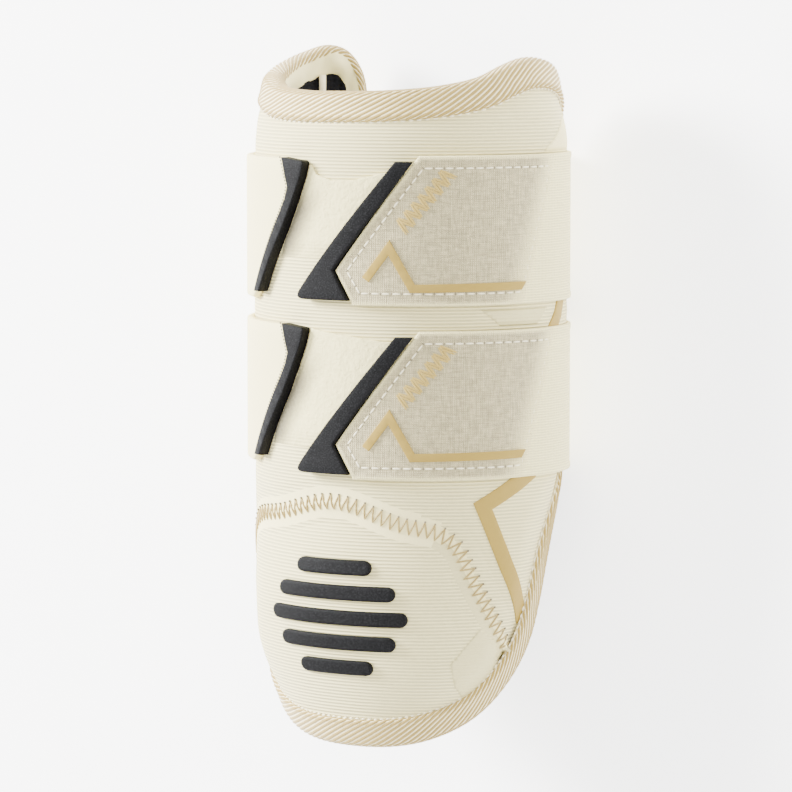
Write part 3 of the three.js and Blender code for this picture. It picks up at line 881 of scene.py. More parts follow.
PUFF_LIMIT = 1.6
STRAP_SQUEEZE = 0.15
WRINKLE_SIZE = 24.0
WRINKLE_HEIGHT = 0.35
WRINKLE_STRETCH = 1.6
TAPE_SWELL = 0.6
SWELL_START = (4, 9)
SWELL_END = (12, 20)
PUFF_START = 12.0
RISE_BESIDE_STRAP = 0.35


def inflate(piece, frames):
    """Inflates the closed padding as cloth, and applies the result."""
    cloth = piece.modifiers.new("puff", "CLOTH")
    cloth.settings.use_pressure = True
    cloth.settings.uniform_pressure_force = 4.0
    cloth.settings.effector_weights.gravity = 0.0
    cloth.settings.quality = 4
    cloth.settings.mass = 0.4
    cloth.settings.tension_stiffness = 30
    cloth.settings.compression_stiffness = 30
    cloth.settings.bending_stiffness = 3
    cloth.point_cache.frame_end = frames
    scene = bpy.context.scene
    for step in range(1, frames + 1):
        scene.frame_set(step)
    apply_modifiers(piece)
    scene.frame_set(1)


def held_off(arc, up, off, before, limit):
    """Where a puffed point may stand: near its start, and no prouder than a strap lets it."""
    off = min(max(off, before - limit), before + limit)
    spot = Vector((arc, up * WRINKLE_STRETCH, 4.0)) / WRINKLE_SIZE
    ripple = noise.noise(spot) * WRINKLE_HEIGHT
    if before > -PAD_THICKNESS / 2:
        inland = from_rim(Vector((arc, up)))
        swell = smoothstep(inland, *SWELL_START) * (1 - smoothstep(inland, *SWELL_END))
        off += ripple + TAPE_SWELL * swell
        for base in STRAP_BASES.values():
            beside = max(base - up, up - base - STRAP_WIDTH, 0)
            off = min(off, STRAP_SQUEEZE + beside * RISE_BESIDE_STRAP)
    return max(off, -PAD_THICKNESS)


def padded_piece(node, name, frames):
    """A padded piece from its CAD solid, inflated, then held under the straps."""
    piece = new_piece(name, merged_copy(node), "ribbed_knit", "knit_cover", node)
    add_subdivision(piece, 1)
    apply_modifiers(piece)
    before = [layout_of(v.co) for v in piece.data.vertices]
    inflate(piece, frames)
    for vert, start in zip(piece.data.vertices, before):
        place = layout_of(vert.co)
        limit = PUFF_LIMIT * smoothstep(from_rim(start.xy), FRONT_LEG, FRONT_LEG + PUFF_START)
        slide = place.xy - start.xy
        if slide.length > limit:
            slide *= limit / slide.length
        arc, up = start.xy + slide
        vert.co = on_guard(arc, up, held_off(arc, up, place.z, start.z, limit))
    piece.data.update()
    add_subdivision(piece, 1)
    bpy.context.view_layer.update()
    depsgraph = bpy.context.evaluated_depsgraph_get()
    SURFACES.append(BVHTree.FromObject(piece, depsgraph))


class GUARD_OT_padding(bpy.types.Operator):
    """Inflates the padded body and the elbow cap"""

    bl_idname = "guard.padding"
    bl_label = "Padding"

    def execute(self, context):
        frames = context.scene.guard_sizes.cloth_frames
        padded_piece("body_panel", "padded_body", frames)
        padded_piece("elbow_cap", "padded_cap", frames)
        return {"FINISHED"}


# Edge tape


BINDING_WALL = 1.2
BACK_LEG = 3.5
CORD_HEIGHT = 0.3
CORD_SHARE = 0.78
CORD_SLANT = 2.1
CORD_SINK = 0.08
CORD_STEPS = 26
CORD_START = 0.05
CORD_SPAN = 0.93
TAPE_STEPS = (460, 12)
TAPE_BODY = 0.8

# The stitches along the tape's inner edge. The spacing is a share of the topstitch's, the length a
# share of that spacing, the place and width shares of the tape's width, the rest in millimetres.
EDGE_STITCH_PITCH = 0.8
EDGE_STITCH_LENGTH = 0.72
EDGE_STITCH_PLACE = 0.035
EDGE_STITCH_WIDTH = 0.022
EDGE_STITCH_HEIGHT = 0.8
EDGE_STITCH_LIFT = 0.25


def tape_profile():
    """The folded tape's outer line across the edge, as (depth in from the edge, off)."""

    def face(depth):
        return -RIM_DROP * (1 - smoothstep(depth, 0, RIM_ROLL)) + 1.5 * CLEARANCE + BINDING_WALL

    back = -PAD_THICKNESS - CLEARANCE - BINDING_WALL
    middle = (face(0) + back) / 2
    return [
        Vector((FRONT_LEG + 0.35, face(FRONT_LEG) - BINDING_WALL - 0.6)),
        Vector((FRONT_LEG + 0.1, face(FRONT_LEG) - 0.45)),
        Vector((FRONT_LEG - 0.6, face(FRONT_LEG))),
        Vector((FRONT_LEG * 0.6, face(FRONT_LEG * 0.6) + 0.25)),
        Vector((2.6, face(2.6) + 0.15)),
        Vector((0.8, face(0.8) - 0.55)),
        Vector((0.05, middle + 1.0)),
        Vector((0.05, middle - 1.2)),
        Vector((0.8, back + 0.5)),
        Vector((2.0, back)),
        Vector((BACK_LEG, back + 0.2)),
    ]


PROFILE_STEP = 0.4
PROFILE = evenly(smooth_path(tape_profile(), closed=False), PROFILE_STEP)
PROFILE_LENGTH = PROFILE_STEP * (len(PROFILE) - 1)
TAPE_LENGTH = sum((b[0] - a[0]).length for a, b in zip(RIM_STATIONS, RIM_STATIONS[1:]))


def on_tape(run, across, lift):
    """A frame point from the run along the edge and the share across the tape."""
    count = len(RIM_STATIONS)
    step = (run / TAPE_LENGTH * count) % count
    i = int(step)
    part = step - i
    (p0, d0), (p1, d1) = RIM_STATIONS[i], RIM_STATIONS[(i + 1) % count]
    inward = left_of((d0 * (1 - part) + d1 * part).normalized())
    place = p0.lerp(p1, part)
    spot = min(max(across, 0), 1) * (len(PROFILE) - 1)
    j = min(int(spot), len(PROFILE) - 2)
    (q0, e0), (q1, e1) = PROFILE[j], PROFILE[j + 1]
    depth, off = q0.lerp(q1, spot - j)
    out = -left_of((e0 * (1 - spot + j) + e1 * (spot - j)).normalized())
    place = place + inward * (depth + out.x * lift)
    return on_guard(place.x, place.y, off + out.y * lift)


def fold_over_edge(bm):
    """Folds a flat strip, with x along the edge, y across it and z its height, over the rim."""
    for vert in bm.verts:
        vert.co = on_tape(*vert.co)


class GUARD_OT_edge_tape(bpy.types.Operator):
    """Folds the striped tape over the whole edge, with its cords and its stitches"""

    bl_idname = "guard.edge_tape"
    bl_label = "Edge tape"

    def execute(self, context):
        sizes = context.scene.guard_sizes
        self.tape()
        self.cords(sizes.cord_pitch / MM)
        self.stitches(sizes.stitch_pitch / MM)
        return {"FINISHED"}

    def tape(self):
        bm = bmesh.new()
        bmesh.ops.create_grid(bm, x_segments=TAPE_STEPS[0], y_segments=TAPE_STEPS[1], size=0.5)
        bmesh.ops.translate(bm, verts=bm.verts, vec=(0.5, 0.5, 0))
        bmesh.ops.scale(bm, verts=bm.verts, vec=(TAPE_LENGTH, 1, 1))
        thicken(bm, BINDING_WALL * TAPE_BODY)
        ends = [
            f for f in bm.faces
            if all(abs(v.co.x) < 1e-4 for v in f.verts)
            or all(abs(v.co.x - TAPE_LENGTH) < 1e-2 for v in f.verts)
        ]
        bmesh.ops.delete(bm, geom=ends, context="FACES_ONLY")
        fold_over_edge(bm)
        bmesh.ops.remove_doubles(bm, verts=bm.verts, dist=1e-5)
        bmesh.ops.recalc_face_normals(bm, faces=bm.faces)
        new_piece("edge_tape", bm, "twill_tape", "binding_tape", "edge_binding")

    def cords(self, pitch):
        bm = bmesh.new()
        count = round(TAPE_LENGTH / pitch)
        for k in range(count):
            start = TAPE_LENGTH * k / count
            made = bmesh.ops.create_grid(bm, x_segments=4, y_segments=CORD_STEPS, size=0.5)
            for vert in made["verts"]:
                crown = math.sqrt(max(1 - (2 * vert.co.x) ** 2, 0))
                share = CORD_START + CORD_SPAN * (vert.co.y + 0.5)
                run = start + vert.co.x * pitch * CORD_SHARE - share * PROFILE_LENGTH * CORD_SLANT
                vert.co = Vector((run, share, CORD_HEIGHT * crown - CORD_SINK))
        fold_over_edge(bm)
        bmesh.ops.recalc_face_normals(bm, faces=bm.faces)
        new_piece("edge_cords", bm, "tan_cord", "binding_tape")

    def stitches(self, pitch):
        bm = bmesh.new()
        pitch *= EDGE_STITCH_PITCH
        count = round(TAPE_LENGTH / pitch)
        for k in range(count):
            start = TAPE_LENGTH * k / count
            made = bmesh.ops.create_uvsphere(bm, u_segments=6, v_segments=5, radius=0.5)
            for vert in made["verts"]:
                run = start + vert.co.x * pitch * EDGE_STITCH_LENGTH
                across = EDGE_STITCH_PLACE + vert.co.y * EDGE_STITCH_WIDTH
                lift = EDGE_STITCH_LIFT + vert.co.z * EDGE_STITCH_HEIGHT
                vert.co = Vector((run, across, lift))
        fold_over_edge(bm)
        new_piece("edge_stitches", bm, "cream_thread", "binding_tape")


# Cap seam and trim on the padding


SEAM_BAND_HALF = 7.8
SEAM_TURN = (28, 42)
SEAM_ABOVE = (4.7, 1.2)
SEAM_BELOW = (4.7, 4.9)
SEAM_BAND_WALL = 0.35
SEAM_BAND_BACK = 0.5
SEAM_BAND_SINK = 0.12
SEAM_BAND_FADE = 0.7
SEAM_DIP = 0.35
SEAM_SAMPLE = 6.5
BAND_FINISHES = ("pressed_knit", "ribbed_knit", "tonal_film")
PRESSED, RIBBED, TONAL = range(3)
THREAD_RADIUS = 0.34
SEAM_END_DEPTH = 8.2
ZIGZAG_END_DEPTH = 8.6


class GUARD_OT_cap_seam(bpy.types.Operator):
    """Lays the pressed band and the zigzag thread over the seam between body and cap"""

    bl_idname = "guard.cap_seam"
    bl_label = "Cap seam"

    def execute(self, context):
        sizes = context.scene.guard_sizes
        half_pitch = sizes.zigzag_pitch / MM / 2
        stations = [s for s in evenly(SEAM, half_pitch) if from_rim(s[0]) > SEAM_END_DEPTH]
        self.band(stations)
        stations = [s for s in stations if from_rim(s[0]) > ZIGZAG_END_DEPTH]
        self.zigzag(stations, sizes.zigzag_width / MM)
        return {"FINISHED"}

    def seat_across(self, place, side):
        """A function that gives the seat at a distance to the left of a seam station."""
        left = seat_at(*(place + side * SEAM_SAMPLE))
        right = seat_at(*(place - side * SEAM_SAMPLE))

        def seat(distance):
            share = distance / SEAM_SAMPLE
            dip = SEAM_DIP * (1 - min(share**2, 1))
            return (left + right) / 2 + (left - right) / 2 * share - dip

        return seat

    def band(self, stations):
        bm = bmesh.new()
        last = len(stations) - 1
        bmesh.ops.create_grid(bm, x_segments=last, y_segments=12, size=0.5)
        seats = [self.seat_across(place, left_of(direction)) for place, direction in stations]
        for vert in bm.verts:
            k = round((vert.co.x + 0.5) * last)
            place, direction = stations[k]
            distance = vert.co.y * 2 * SEAM_BAND_HALF
            spot = place + left_of(direction) * distance
            fade = 1 - smoothstep(abs(distance), SEAM_BAND_HALF * SEAM_BAND_FADE, SEAM_BAND_HALF)
            off = max(seats[k](distance), seat_at(*spot) - 0.1) + SEAM_BAND_WALL * fade
            vert.co = Vector((spot.x, spot.y, off - SEAM_BAND_SINK))
        for _ in range(3):
            bmesh.ops.smooth_vert(bm, verts=[v for v in bm.verts if not v.is_boundary], factor=0.5,
                                  use_axis_x=False, use_axis_y=False, use_axis_z=True)
        for face in bm.faces:
            face.material_index = self.finish_beside(face.calc_center_median().xy, stations[::2])
        thicken(bm, SEAM_BAND_BACK)
        keep_flat_uv(bm)
        wrap(bm)
        bmesh.ops.recalc_face_normals(bm, faces=bm.faces)
        SURFACES.append(BVHTree.FromBMesh(bm))
        piece = new_piece("seam_band", bm, BAND_FINISHES[PRESSED], "knit_cover")
        for kind in BAND_FINISHES[1:]:
            piece.data.materials.append(finish(kind))

    def finish_beside(self, spot, stations):
        """Which of the band's finishes a spot has: the pressed strip narrows on the right side."""
        place, direction = min(stations, key=lambda s: (spot - s[0]).length)
        distance = (spot - place).dot(left_of(direction))
        turned = smoothstep(place.x, *SEAM_TURN)
        above = SEAM_ABOVE[0] + (SEAM_ABOVE[1] - SEAM_ABOVE[0]) * turned
        below = SEAM_BELOW[0] + (SEAM_BELOW[1] - SEAM_BELOW[0]) * turned
        if distance > above or distance < -below:
            return RIBBED
        return TONAL if turned > 0.5 and distance < -above else PRESSED

    def zigzag(self, stations, width):
        bm = bmesh.new()
        corners = [
            place + left_of(direction) * (width if k % 2 else -width) / 2
            for k, (place, direction) in enumerate(stations)
        ]
        for a, b in zip(corners, corners[1:]):
            add_stitch(bm, a, b, THREAD_RADIUS, lift=THREAD_RADIUS * 0.6)
        # Dark dots at every other corner: painted shadows of the needle holes
        shaded_holes = bmesh.new()
        for corner in corners[1::2]:
            bmesh.ops.create_uvsphere(
                shaded_holes, u_segments=6, v_segments=4, radius=THREAD_RADIUS * 1.1,
                matrix=Matrix.Translation((corner.x, corner.y, THREAD_RADIUS)),
            )
        for name, made, kind in (
            ("seam_zigzag", bm, "olive_thread"), ("seam_hole_shadows", shaded_holes, "needle_hole_shadows")
        ):
            wrap(made, on_padding=True)
            new_piece(name, made, kind, "tan_trim")


SIDE_WALL = 0.4
SIDE_LINE_WIDTH = 5.2
TRANSFER_ROUND = 0.2
TONAL_WALL = 0.14
CAP_RIB_RADIUS = 2.5
CAP_RIB_WALL = 1.6
CAP_RIB_ROUND = 0.7
FLAT_BACK = -0.3
FLAT_SLICE = 1.5
END_STEPS = 8


class GUARD_OT_trim(bpy.types.Operator):
    """Adds the tan lines, the tonal patches and the moulded ribs that lie on the padding"""

    bl_idname = "guard.trim"
    bl_label = "Trim"

    def execute(self, context):
        for name, places, nodes in (
            ("side_trim", SIDE_LINE, ["side_line"]), ("side_dash", SIDE_DASH, [])
        ):
            outline = line_outline(places, SIDE_LINE_WIDTH)
            self.flat(name, outline, SIDE_WALL, TRANSFER_ROUND, "tan_transfer", "tan_trim", *nodes)
        for name, outline in TONAL_PATCHES.items():
            kind = "pressed_knit" if name == "tonal_top" else "tonal_film"
            self.flat(name, outline, TONAL_WALL, 0, kind, "knit_cover")
        middle = (len(CAP_RIB_HALF_LENGTHS) - 1) / 2
        for k, half in enumerate(CAP_RIB_HALF_LENGTHS):
            outline = self.round_ended(half, CAP_RIB_CENTRE_UP + (middle - k) * CAP_RIB_PITCH)
            self.flat(
                f"cap_bar_{k + 1}", outline, CAP_RIB_WALL, CAP_RIB_ROUND, "grained_rubber",
                "black_rubber", f"cap_rib_{k + 1}",
            )
        return {"FINISHED"}

    def round_ended(self, half, centre):
        """The outline of a rib with round ends, from its half length and its place up the cap."""
        places = []
        for side in (1, -1):
            for n in range(END_STEPS + 1):
                turn = -math.pi / 2 + n * math.pi / END_STEPS + (0 if side > 0 else math.pi)
                arc = side * (half - CAP_RIB_RADIUS) + CAP_RIB_RADIUS * math.cos(turn)
                places.append((arc, centre + CAP_RIB_RADIUS * math.sin(turn)))
        return places

    def flat(self, name, outline, height, edge_round, kind, slot, *nodes):
        bm = cut_pattern(outline, FLAT_BACK, height, edge_round)
        slice_across(bm, 0, FLAT_SLICE)
        slice_across(bm, 1, FLAT_SLICE)
        keep_flat_uv(bm)
        wrap(bm, on_padding=True)
        new_piece(name, bm, kind, slot, *nodes)


# Straps


TAB_LINE_WIDTH = 2.7
TAB_LINE_SLANT = 1.8
TAB_LINE_HEIGHT = 0.3
TAB_HEM = (1.6, 0.25)
TAB_FADE = 9.0
TAB_THINNING = (0.2, 0.75)
TAB_EDGE_CORNER = 4.0
TAB_POINT_UP = TAB_FRONT[1][0]
CREAM_FADE = 11.0
CREAM_HEM = (0.4, 1.3)
FRONT_EDGE_LEAN = 0.8
STRAP_HEM = (1.8, 0.25)
STRAP_UNDER_ANCHOR = 6.0
STRAP_UNDER_TAB = 4.0
HIDDEN_DEPTH = 0.6
# How far the painted shadow beside the anchor moulding runs, from full to none, in millimetres
MOULDING_SHADOW_REACH = (2.0, 12.0)
LANDING_FADE = 0.16
LANDING_SLICE = 0.8
STRAP_ROUND = 0.5
LANDING_ROUND = 0.25
TAB_ROUND = 0.6
ANCHOR_ROUND = 0.7
ANCHOR_EDGE_ROUND = 0.35
TUFT_HEIGHT = 0.22
EDGE_TIP_RISE = 1.0
EDGE_TIP_ROUND = 1.3
FLAT_CUT = 2.0

# The dotted stitches along an anchor's edge and the tab's needle holes, both dark as painted shadows,
# the tab's topstitches and its bar tack
DOT_INSET = 1.1
DOT_PITCH = 1.15
DOT_LENGTH = 0.4
DOT_RADIUS = 0.28
STITCH_EDGE = 4.0
STITCH_INSETS = {"front": 4.2, "foot": 4.6, "rear": 2.2}
STITCH_SHARE = 0.66
STITCH_RADIUS = 0.32
HOLE_SHADOW_RADIUS = 0.22
HOLE_SHADOW_HALF_LENGTH = 0.55
TACK_TOP = (39.0, 0.89)
TACK_FOOT = (23.8, 0.52)
TACK_ZIGS = 14
TACK_HALF_WIDTH = 2.8
TACK_HALF_GAP = 0.42
TACK_RADIUS = 0.45
TACK_HEIGHT = 0.8


def rounded(outline, corners):
    """The outline with some corners, given by their index, rounded from a distance off."""
    found = []
    for k, place in enumerate(outline):
        if k not in corners:
            found.append(place)
            continue
        corner = Vector(place)
        before = Vector(outline[k - 1]) - corner
        after = Vector(outline[(k + 1) % len(outline)]) - corner
        start = corner + before.normalized() * corners[k]
        end = corner + after.normalized() * corners[k]
        for t in (0, 0.25, 0.5, 0.75, 1):
            found.append(tuple(start.lerp(corner, t).lerp(corner.lerp(end, t), t)))
    return found


def tab_sink(arc, up, height):
    """How far a tab's cloth sinks towards its rear edge, at a height above its seat."""
    rear = table_at(TAB_REAR, up)
    return smoothstep(arc, rear - TAB_FADE, rear) * (TAB_THINNING[0] + TAB_THINNING[1] * height)


class GUARD_OT_straps(bpy.types.Operator):
    """Builds both straps with their tabs, moulded edges, anchors, landing patches and stitches"""

    bl_idname = "guard.straps"
    bl_label = "Straps"

    def execute(self, context):
        pitch = context.scene.guard_sizes.stitch_pitch / MM
        for which, base in STRAP_BASES.items():
            self.strap(which, base)
            self.landing(which, base)
            self.tab(which, base)
            self.tab_edge(which, base)
            self.anchor(which, base + ANCHOR_RISES[which])
            self.tab_stitches(which, base, pitch)
            self.bar_tack(which, base)
        return {"FINISHED"}

    def finish_flat(self, name, bm, kind, slot, spacing, *nodes):
        slice_across(bm, 0, spacing)
        slice_across(bm, 1, spacing * 2)
        keep_flat_uv(bm)
        wrap(bm)
        return new_piece(name, bm, kind, slot, *nodes)

    def strap(self, which, base):
        start = STRAP_UNDER_ANCHOR - ANCHOR_BACK_ARC
        outline = [
            (start, base),
            (start, base + STRAP_WIDTH),
            (table_at(TAB_REAR, 1) - STRAP_UNDER_TAB - 2 * HALF_ROUND, base + STRAP_WIDTH),
            (table_at(TAB_REAR, 0) - STRAP_UNDER_TAB - 2 * HALF_ROUND, base),
        ]
        bm = cut_pattern(outline, CLEARANCE, CLEARANCE + STRAP_WALL, STRAP_ROUND, hem=STRAP_HEM)
        piece = self.finish_flat(
            f"{which}_elastic", bm, "ribbed_elastic", "strap_webbing", 2.5, f"{which}_strap"
        )

    def landing(self, which, base):
        low = LOOP_LOW[which]
        top = LOOP_TOP[which]
        front = [
            (up + ANCHOR_RISES[which] / STRAP_WIDTH, arc + 2 * CLEARANCE)
            for up, arc in ANCHOR_EDGE_FRONT
        ]
        ups = [low + (top[0][1] - low) * k / 6 for k in range(7)]
        left = [(table_at(front, up), base + up * STRAP_WIDTH) for up in ups]
        upper = [(arc, base + up * STRAP_WIDTH) for arc, up in top[1:]]
        outline = [*left, *upper, (top[-1][0], base + low * STRAP_WIDTH)][::-1]
        top_off = CLEARANCE + LOOP_WALL
        bm = cut_pattern(outline, CLEARANCE - HIDDEN_DEPTH, top_off, LANDING_ROUND)
        slice_across(bm, 0, LANDING_SLICE)
        slice_across(bm, 1, LANDING_SLICE)
        keep_flat_uv(bm)

        def thin(arc, up):
            return 1 - smoothstep((up - base) / STRAP_WIDTH, low, low + LANDING_FADE)

        # Painted shadow: how much the pile darkens, as if shaded by the anchor moulding beside it
        def moulding_shadow(arc, up):
            share = (up - base) / STRAP_WIDTH
            side = 1 - smoothstep(arc - table_at(front, share), *MOULDING_SHADOW_REACH)
            return side * smoothstep(share, low - 0.15, low + 0.1) * (1 - smoothstep(share, 0.6, 0.92))

        def pile(arc, up):
            tuft = TUFT_HEIGHT * noise.noise(Vector((arc, up, 0)) * 1.1)
            return tuft - 0.8 * thin(arc, up) ** 2

        wrap(bm, rise=pile)
        piece = new_piece(
            f"{which}_landing", bm, "brushed_pile", "loop_pile", f"{which}_loop_patch"
        )
        paint(piece, "thin", thin)
        paint(piece, "moulding_shadow", moulding_shadow)

    def tab(self, which, base):
        outline = outline_between(TAB_FRONT, TAB_REAR, [up for up, _ in TAB_FRONT], base)
        bm = cut_pattern(outline, TAB_SEAT, TAB_SEAT + TAB_WALL, TAB_ROUND, hem=TAB_HEM)
        slice_across(bm, 0, FLAT_CUT)
        for vert in bm.verts:
            arc, place, off = vert.co
            vert.co.z -= tab_sink(arc, (place - base) / STRAP_WIDTH, off - TAB_SEAT)
        piece = self.finish_flat(
            f"{which}_tab", bm, "woven_webbing", "strap_webbing", FLAT_CUT, f"{which}_strap_tab"
        )

        def cream(arc, up):
            share = (up - base) / STRAP_WIDTH
            rear = table_at(TAB_REAR, share)
            ahead = (arc - table_at(TAB_FRONT, share)) * FRONT_EDGE_LEAN
            inset = min(up - base, base + STRAP_WIDTH - up, ahead)
            hem = 1 - smoothstep(inset, *CREAM_HEM)
            return max(smoothstep(arc, rear - CREAM_FADE, rear), hem)

        paint(piece, "cream", cream)
        rise = base + TAB_LINE_RISES[which]
        outline = line_outline([(a, rise + u * STRAP_WIDTH) for a, u in TAB_LINE], TAB_LINE_WIDTH)
        outline[len(TAB_LINE) - 1].x -= TAB_LINE_SLANT
        top = TAB_SEAT + TAB_WALL
        bm = cut_pattern(outline, top - HIDDEN_DEPTH, top + TAB_LINE_HEIGHT, TRANSFER_ROUND)
        self.finish_flat(
            f"{which}_tab_trim", bm, "tan_transfer", "tan_trim", FLAT_CUT, f"{which}_tab_line"
        )

    def tab_edge(self, which, base):
        rear = [(up, arc - CLEARANCE) for up, arc in TAB_FRONT]
        ups = [TAB_EDGE_FRONT[0][0], TAB_POINT_UP, TAB_EDGE_FRONT[1][0]]
        outline = outline_between(TAB_EDGE_FRONT, rear, ups, base)
        outline = rounded(outline, {len(outline) - 1: TAB_EDGE_CORNER})
        bm = cut_pattern(outline, TAB_SEAT, TAB_SEAT + TAB_EDGE_WALL, TAB_ROUND, segments=3)
        self.finish_flat(
            f"{which}_tab_moulding", bm, "grained_rubber", "black_rubber", FLAT_CUT,
            f"{which}_tab_edge",
        )

    def anchor(self, which, base):
        ups = [up for up, _ in ANCHOR_FRONT]
        back = [(0, -ANCHOR_BACK_ARC), (1, -ANCHOR_BACK_ARC)]
        outline = outline_between(back, ANCHOR_FRONT, ups, base)
        bm = cut_pattern(outline, CLEARANCE, CLEARANCE + ANCHOR_WALL, ANCHOR_ROUND)
        self.finish_flat(
            f"{which}_anchor_patch", bm, "pressed_knit", "strap_webbing", FLAT_CUT,
            f"{which}_anchor",
        )
        self.anchor_stitch_shadows(which, base)
        rear = [(up, arc + CLEARANCE * 0.5) for up, arc in ANCHOR_FRONT]
        ups = sorted({up for up, _ in ANCHOR_FRONT[1:-1] + ANCHOR_EDGE_FRONT})
        outline = outline_between(rear, ANCHOR_EDGE_FRONT, ups, base)
        tip = len(ups)
        outline[tip] = (outline[tip][0], outline[tip][1] + EDGE_TIP_RISE)
        outline = rounded(outline, {tip - 1: EDGE_TIP_ROUND})
        bm = cut_pattern(outline, CLEARANCE, CLEARANCE + ANCHOR_EDGE_WALL, ANCHOR_EDGE_ROUND)
        self.finish_flat(
            f"{which}_anchor_moulding", bm, "grained_rubber", "black_rubber", FLAT_CUT,
            f"{which}_anchor_edge",
        )

    # Dark dots along the anchor's edge, painted as the shadows of its needle holes
    def anchor_stitch_shadows(self, which, base):
        rows = [Vector((arc - DOT_INSET, base + up * STRAP_WIDTH)) for up, arc in ANCHOR_FRONT[1:]]
        lift = CLEARANCE + ANCHOR_WALL
        bm = bmesh.new()
        for place, direction in evenly(rows, DOT_PITCH):
            add_stitch(bm, place, place + direction * DOT_LENGTH, DOT_RADIUS, lift)
        wrap(bm)
        new_piece(f"{which}_anchor_stitch_shadows", bm, "needle_hole_shadows", "strap_webbing")

    def tab_stitches(self, which, base, pitch):
        inset = STITCH_EDGE / STRAP_WIDTH
        corners = (
            (TAB_FRONT, 1 - inset, STITCH_INSETS["front"]),
            (TAB_FRONT, TAB_POINT_UP, STITCH_INSETS["front"]),
            (TAB_FRONT, inset, STITCH_INSETS["foot"]),
            (TAB_REAR, inset, -STITCH_INSETS["rear"]),
            (TAB_REAR, 1 - inset, -STITCH_INSETS["rear"]),
        )
        loop = [
            Vector((table_at(edge, up) + shift, base + up * STRAP_WIDTH)) for edge, up, shift in corners
        ]
        loop.append(loop[0])
        bm = bmesh.new()
        # Dark dashes across the stitch ends: painted shadows of the needle holes
        shaded_holes = bmesh.new()
        for a, b in zip(loop, loop[1:]):
            for place, direction in evenly([a, b], pitch)[:-1]:
                start = place + direction * pitch * (1 - STITCH_SHARE) / 2
                add_stitch(bm, start, start + direction * pitch * STITCH_SHARE, STITCH_RADIUS)
                across = left_of(direction) * HOLE_SHADOW_HALF_LENGTH
                add_stitch(shaded_holes, place - across, place + across, HOLE_SHADOW_RADIUS)
        for name, made, kind, sink in (
            ("tab_stitches", bm, "cream_thread", 0.3), ("needle_hole_shadows", shaded_holes, "needle_hole_shadows", 0.36)
        ):
            for vert in made.verts:
                thinned = tab_sink(vert.co.x, (vert.co.y - base) / STRAP_WIDTH, TAB_WALL)
                vert.co.z += TAB_SEAT + TAB_WALL - sink - thinned
            wrap(made)
            new_piece(f"{which}_{name}", made, kind, "strap_webbing")

    def bar_tack(self, which, base):
        top = Vector((TACK_TOP[0], base + TACK_TOP[1] * STRAP_WIDTH))
        foot = Vector((TACK_FOOT[0], base + TACK_FOOT[1] * STRAP_WIDTH))
        heading = (top - foot).normalized()
        side = left_of(heading) * TACK_HALF_WIDTH
        corners = [
            foot.lerp(top, k / TACK_ZIGS) + (side if k % 2 else -side) for k in range(TACK_ZIGS + 1)
        ]
        bm = bmesh.new()
        for a, b in zip(corners, corners[1:]):
            for slip in (-heading * TACK_HALF_GAP, heading * TACK_HALF_GAP):
                add_stitch(bm, a + slip, b + slip, TACK_RADIUS)
        for vert in bm.verts:
            vert.co.z = TAB_SEAT + TAB_WALL - 0.2 + vert.co.z * TACK_HEIGHT
        wrap(bm)
        new_piece(f"{which}_bar_tack", bm, "gold_thread", "tan_trim")


# Lining


TAPE_OUT = 0.81
TAPE_UPS = (0.47, 0.957)
TAPE_WIDTH = 3.4
TAPE_WALL = 0.8
LINING_WALL = 1.3
FOLD_SIZE = 11.0

# Bands inside the rim: depths in from the edge, off, wall and height of the folds
FACING = ((1.6, 9.9), -8.25, 1.1, 3.0)
LINING_BORDER = ((9.0, 15.5), -8.6, 0.9, 0.0)


class GUARD_OT_lining(bpy.types.Operator):
    """Smooths the facing band, the mesh lining and its tape"""

    bl_idname = "guard.lining"
    bl_label = "Lining"

    def execute(self, context):
        self.strip("facing", FACING, "pressed_knit", "knit_cover", "facing_band")
        self.strip("lining_border", LINING_BORDER, "spacer_mesh", "mesh_lining")
        bm = merged_copy("mesh_lining")
        piece = new_piece("smooth_lining", bm, "spacer_mesh", "mesh_lining", "mesh_lining")
        add_subdivision(piece, 2)
        self.tape()
        return {"FINISHED"}

    def tape(self):
        low, high = (share * GUARD_LENGTH for share in TAPE_UPS)
        arc = -TAPE_OUT * FLAP_ARC
        outline = line_outline([(arc, low), (arc, high)], TAPE_WIDTH)
        inner = -PAD_THICKNESS - 2 * CLEARANCE - LINING_WALL
        bm = cut_pattern(outline, inner - TAPE_WALL, inner, TRANSFER_ROUND)
        slice_across(bm, 1, 4)
        keep_flat_uv(bm)
        wrap(bm)
        new_piece("smooth_tape", bm, "twill_tape", "tan_trim", "lining_tape")

    def strip(self, name, sizes, kind, slot, *nodes):
        """A band of cloth that runs round the inside, from one depth in from the edge to another."""
        (near, far), off, wall, ripple = sizes
        bm = bmesh.new()
        count = len(RIM_STATIONS) // 2
        bmesh.ops.create_grid(bm, x_segments=count, y_segments=8, size=0.5)
        for vert in bm.verts:
            share = vert.co.x + 0.5
            place, direction = RIM_STATIONS[round(share * len(RIM_STATIONS)) % len(RIM_STATIONS)]
            across = vert.co.y + 0.5
            spot = place + left_of(direction) * (near + (far - near) * across)
            fold = abs(noise.noise(Vector((spot.x, spot.y, 7.0)) / FOLD_SIZE))
            wave = fold * math.sin(math.pi * across)
            vert.co = Vector((spot.x, spot.y, off - ripple * wave))
        thicken(bm, wall)
        keep_flat_uv(bm)
        wrap(bm)
        bmesh.ops.remove_doubles(bm, verts=bm.verts, dist=1e-5)
        bmesh.ops.recalc_face_normals(bm, faces=bm.faces)
        new_piece(name, bm, kind, slot, *nodes)


# Stage


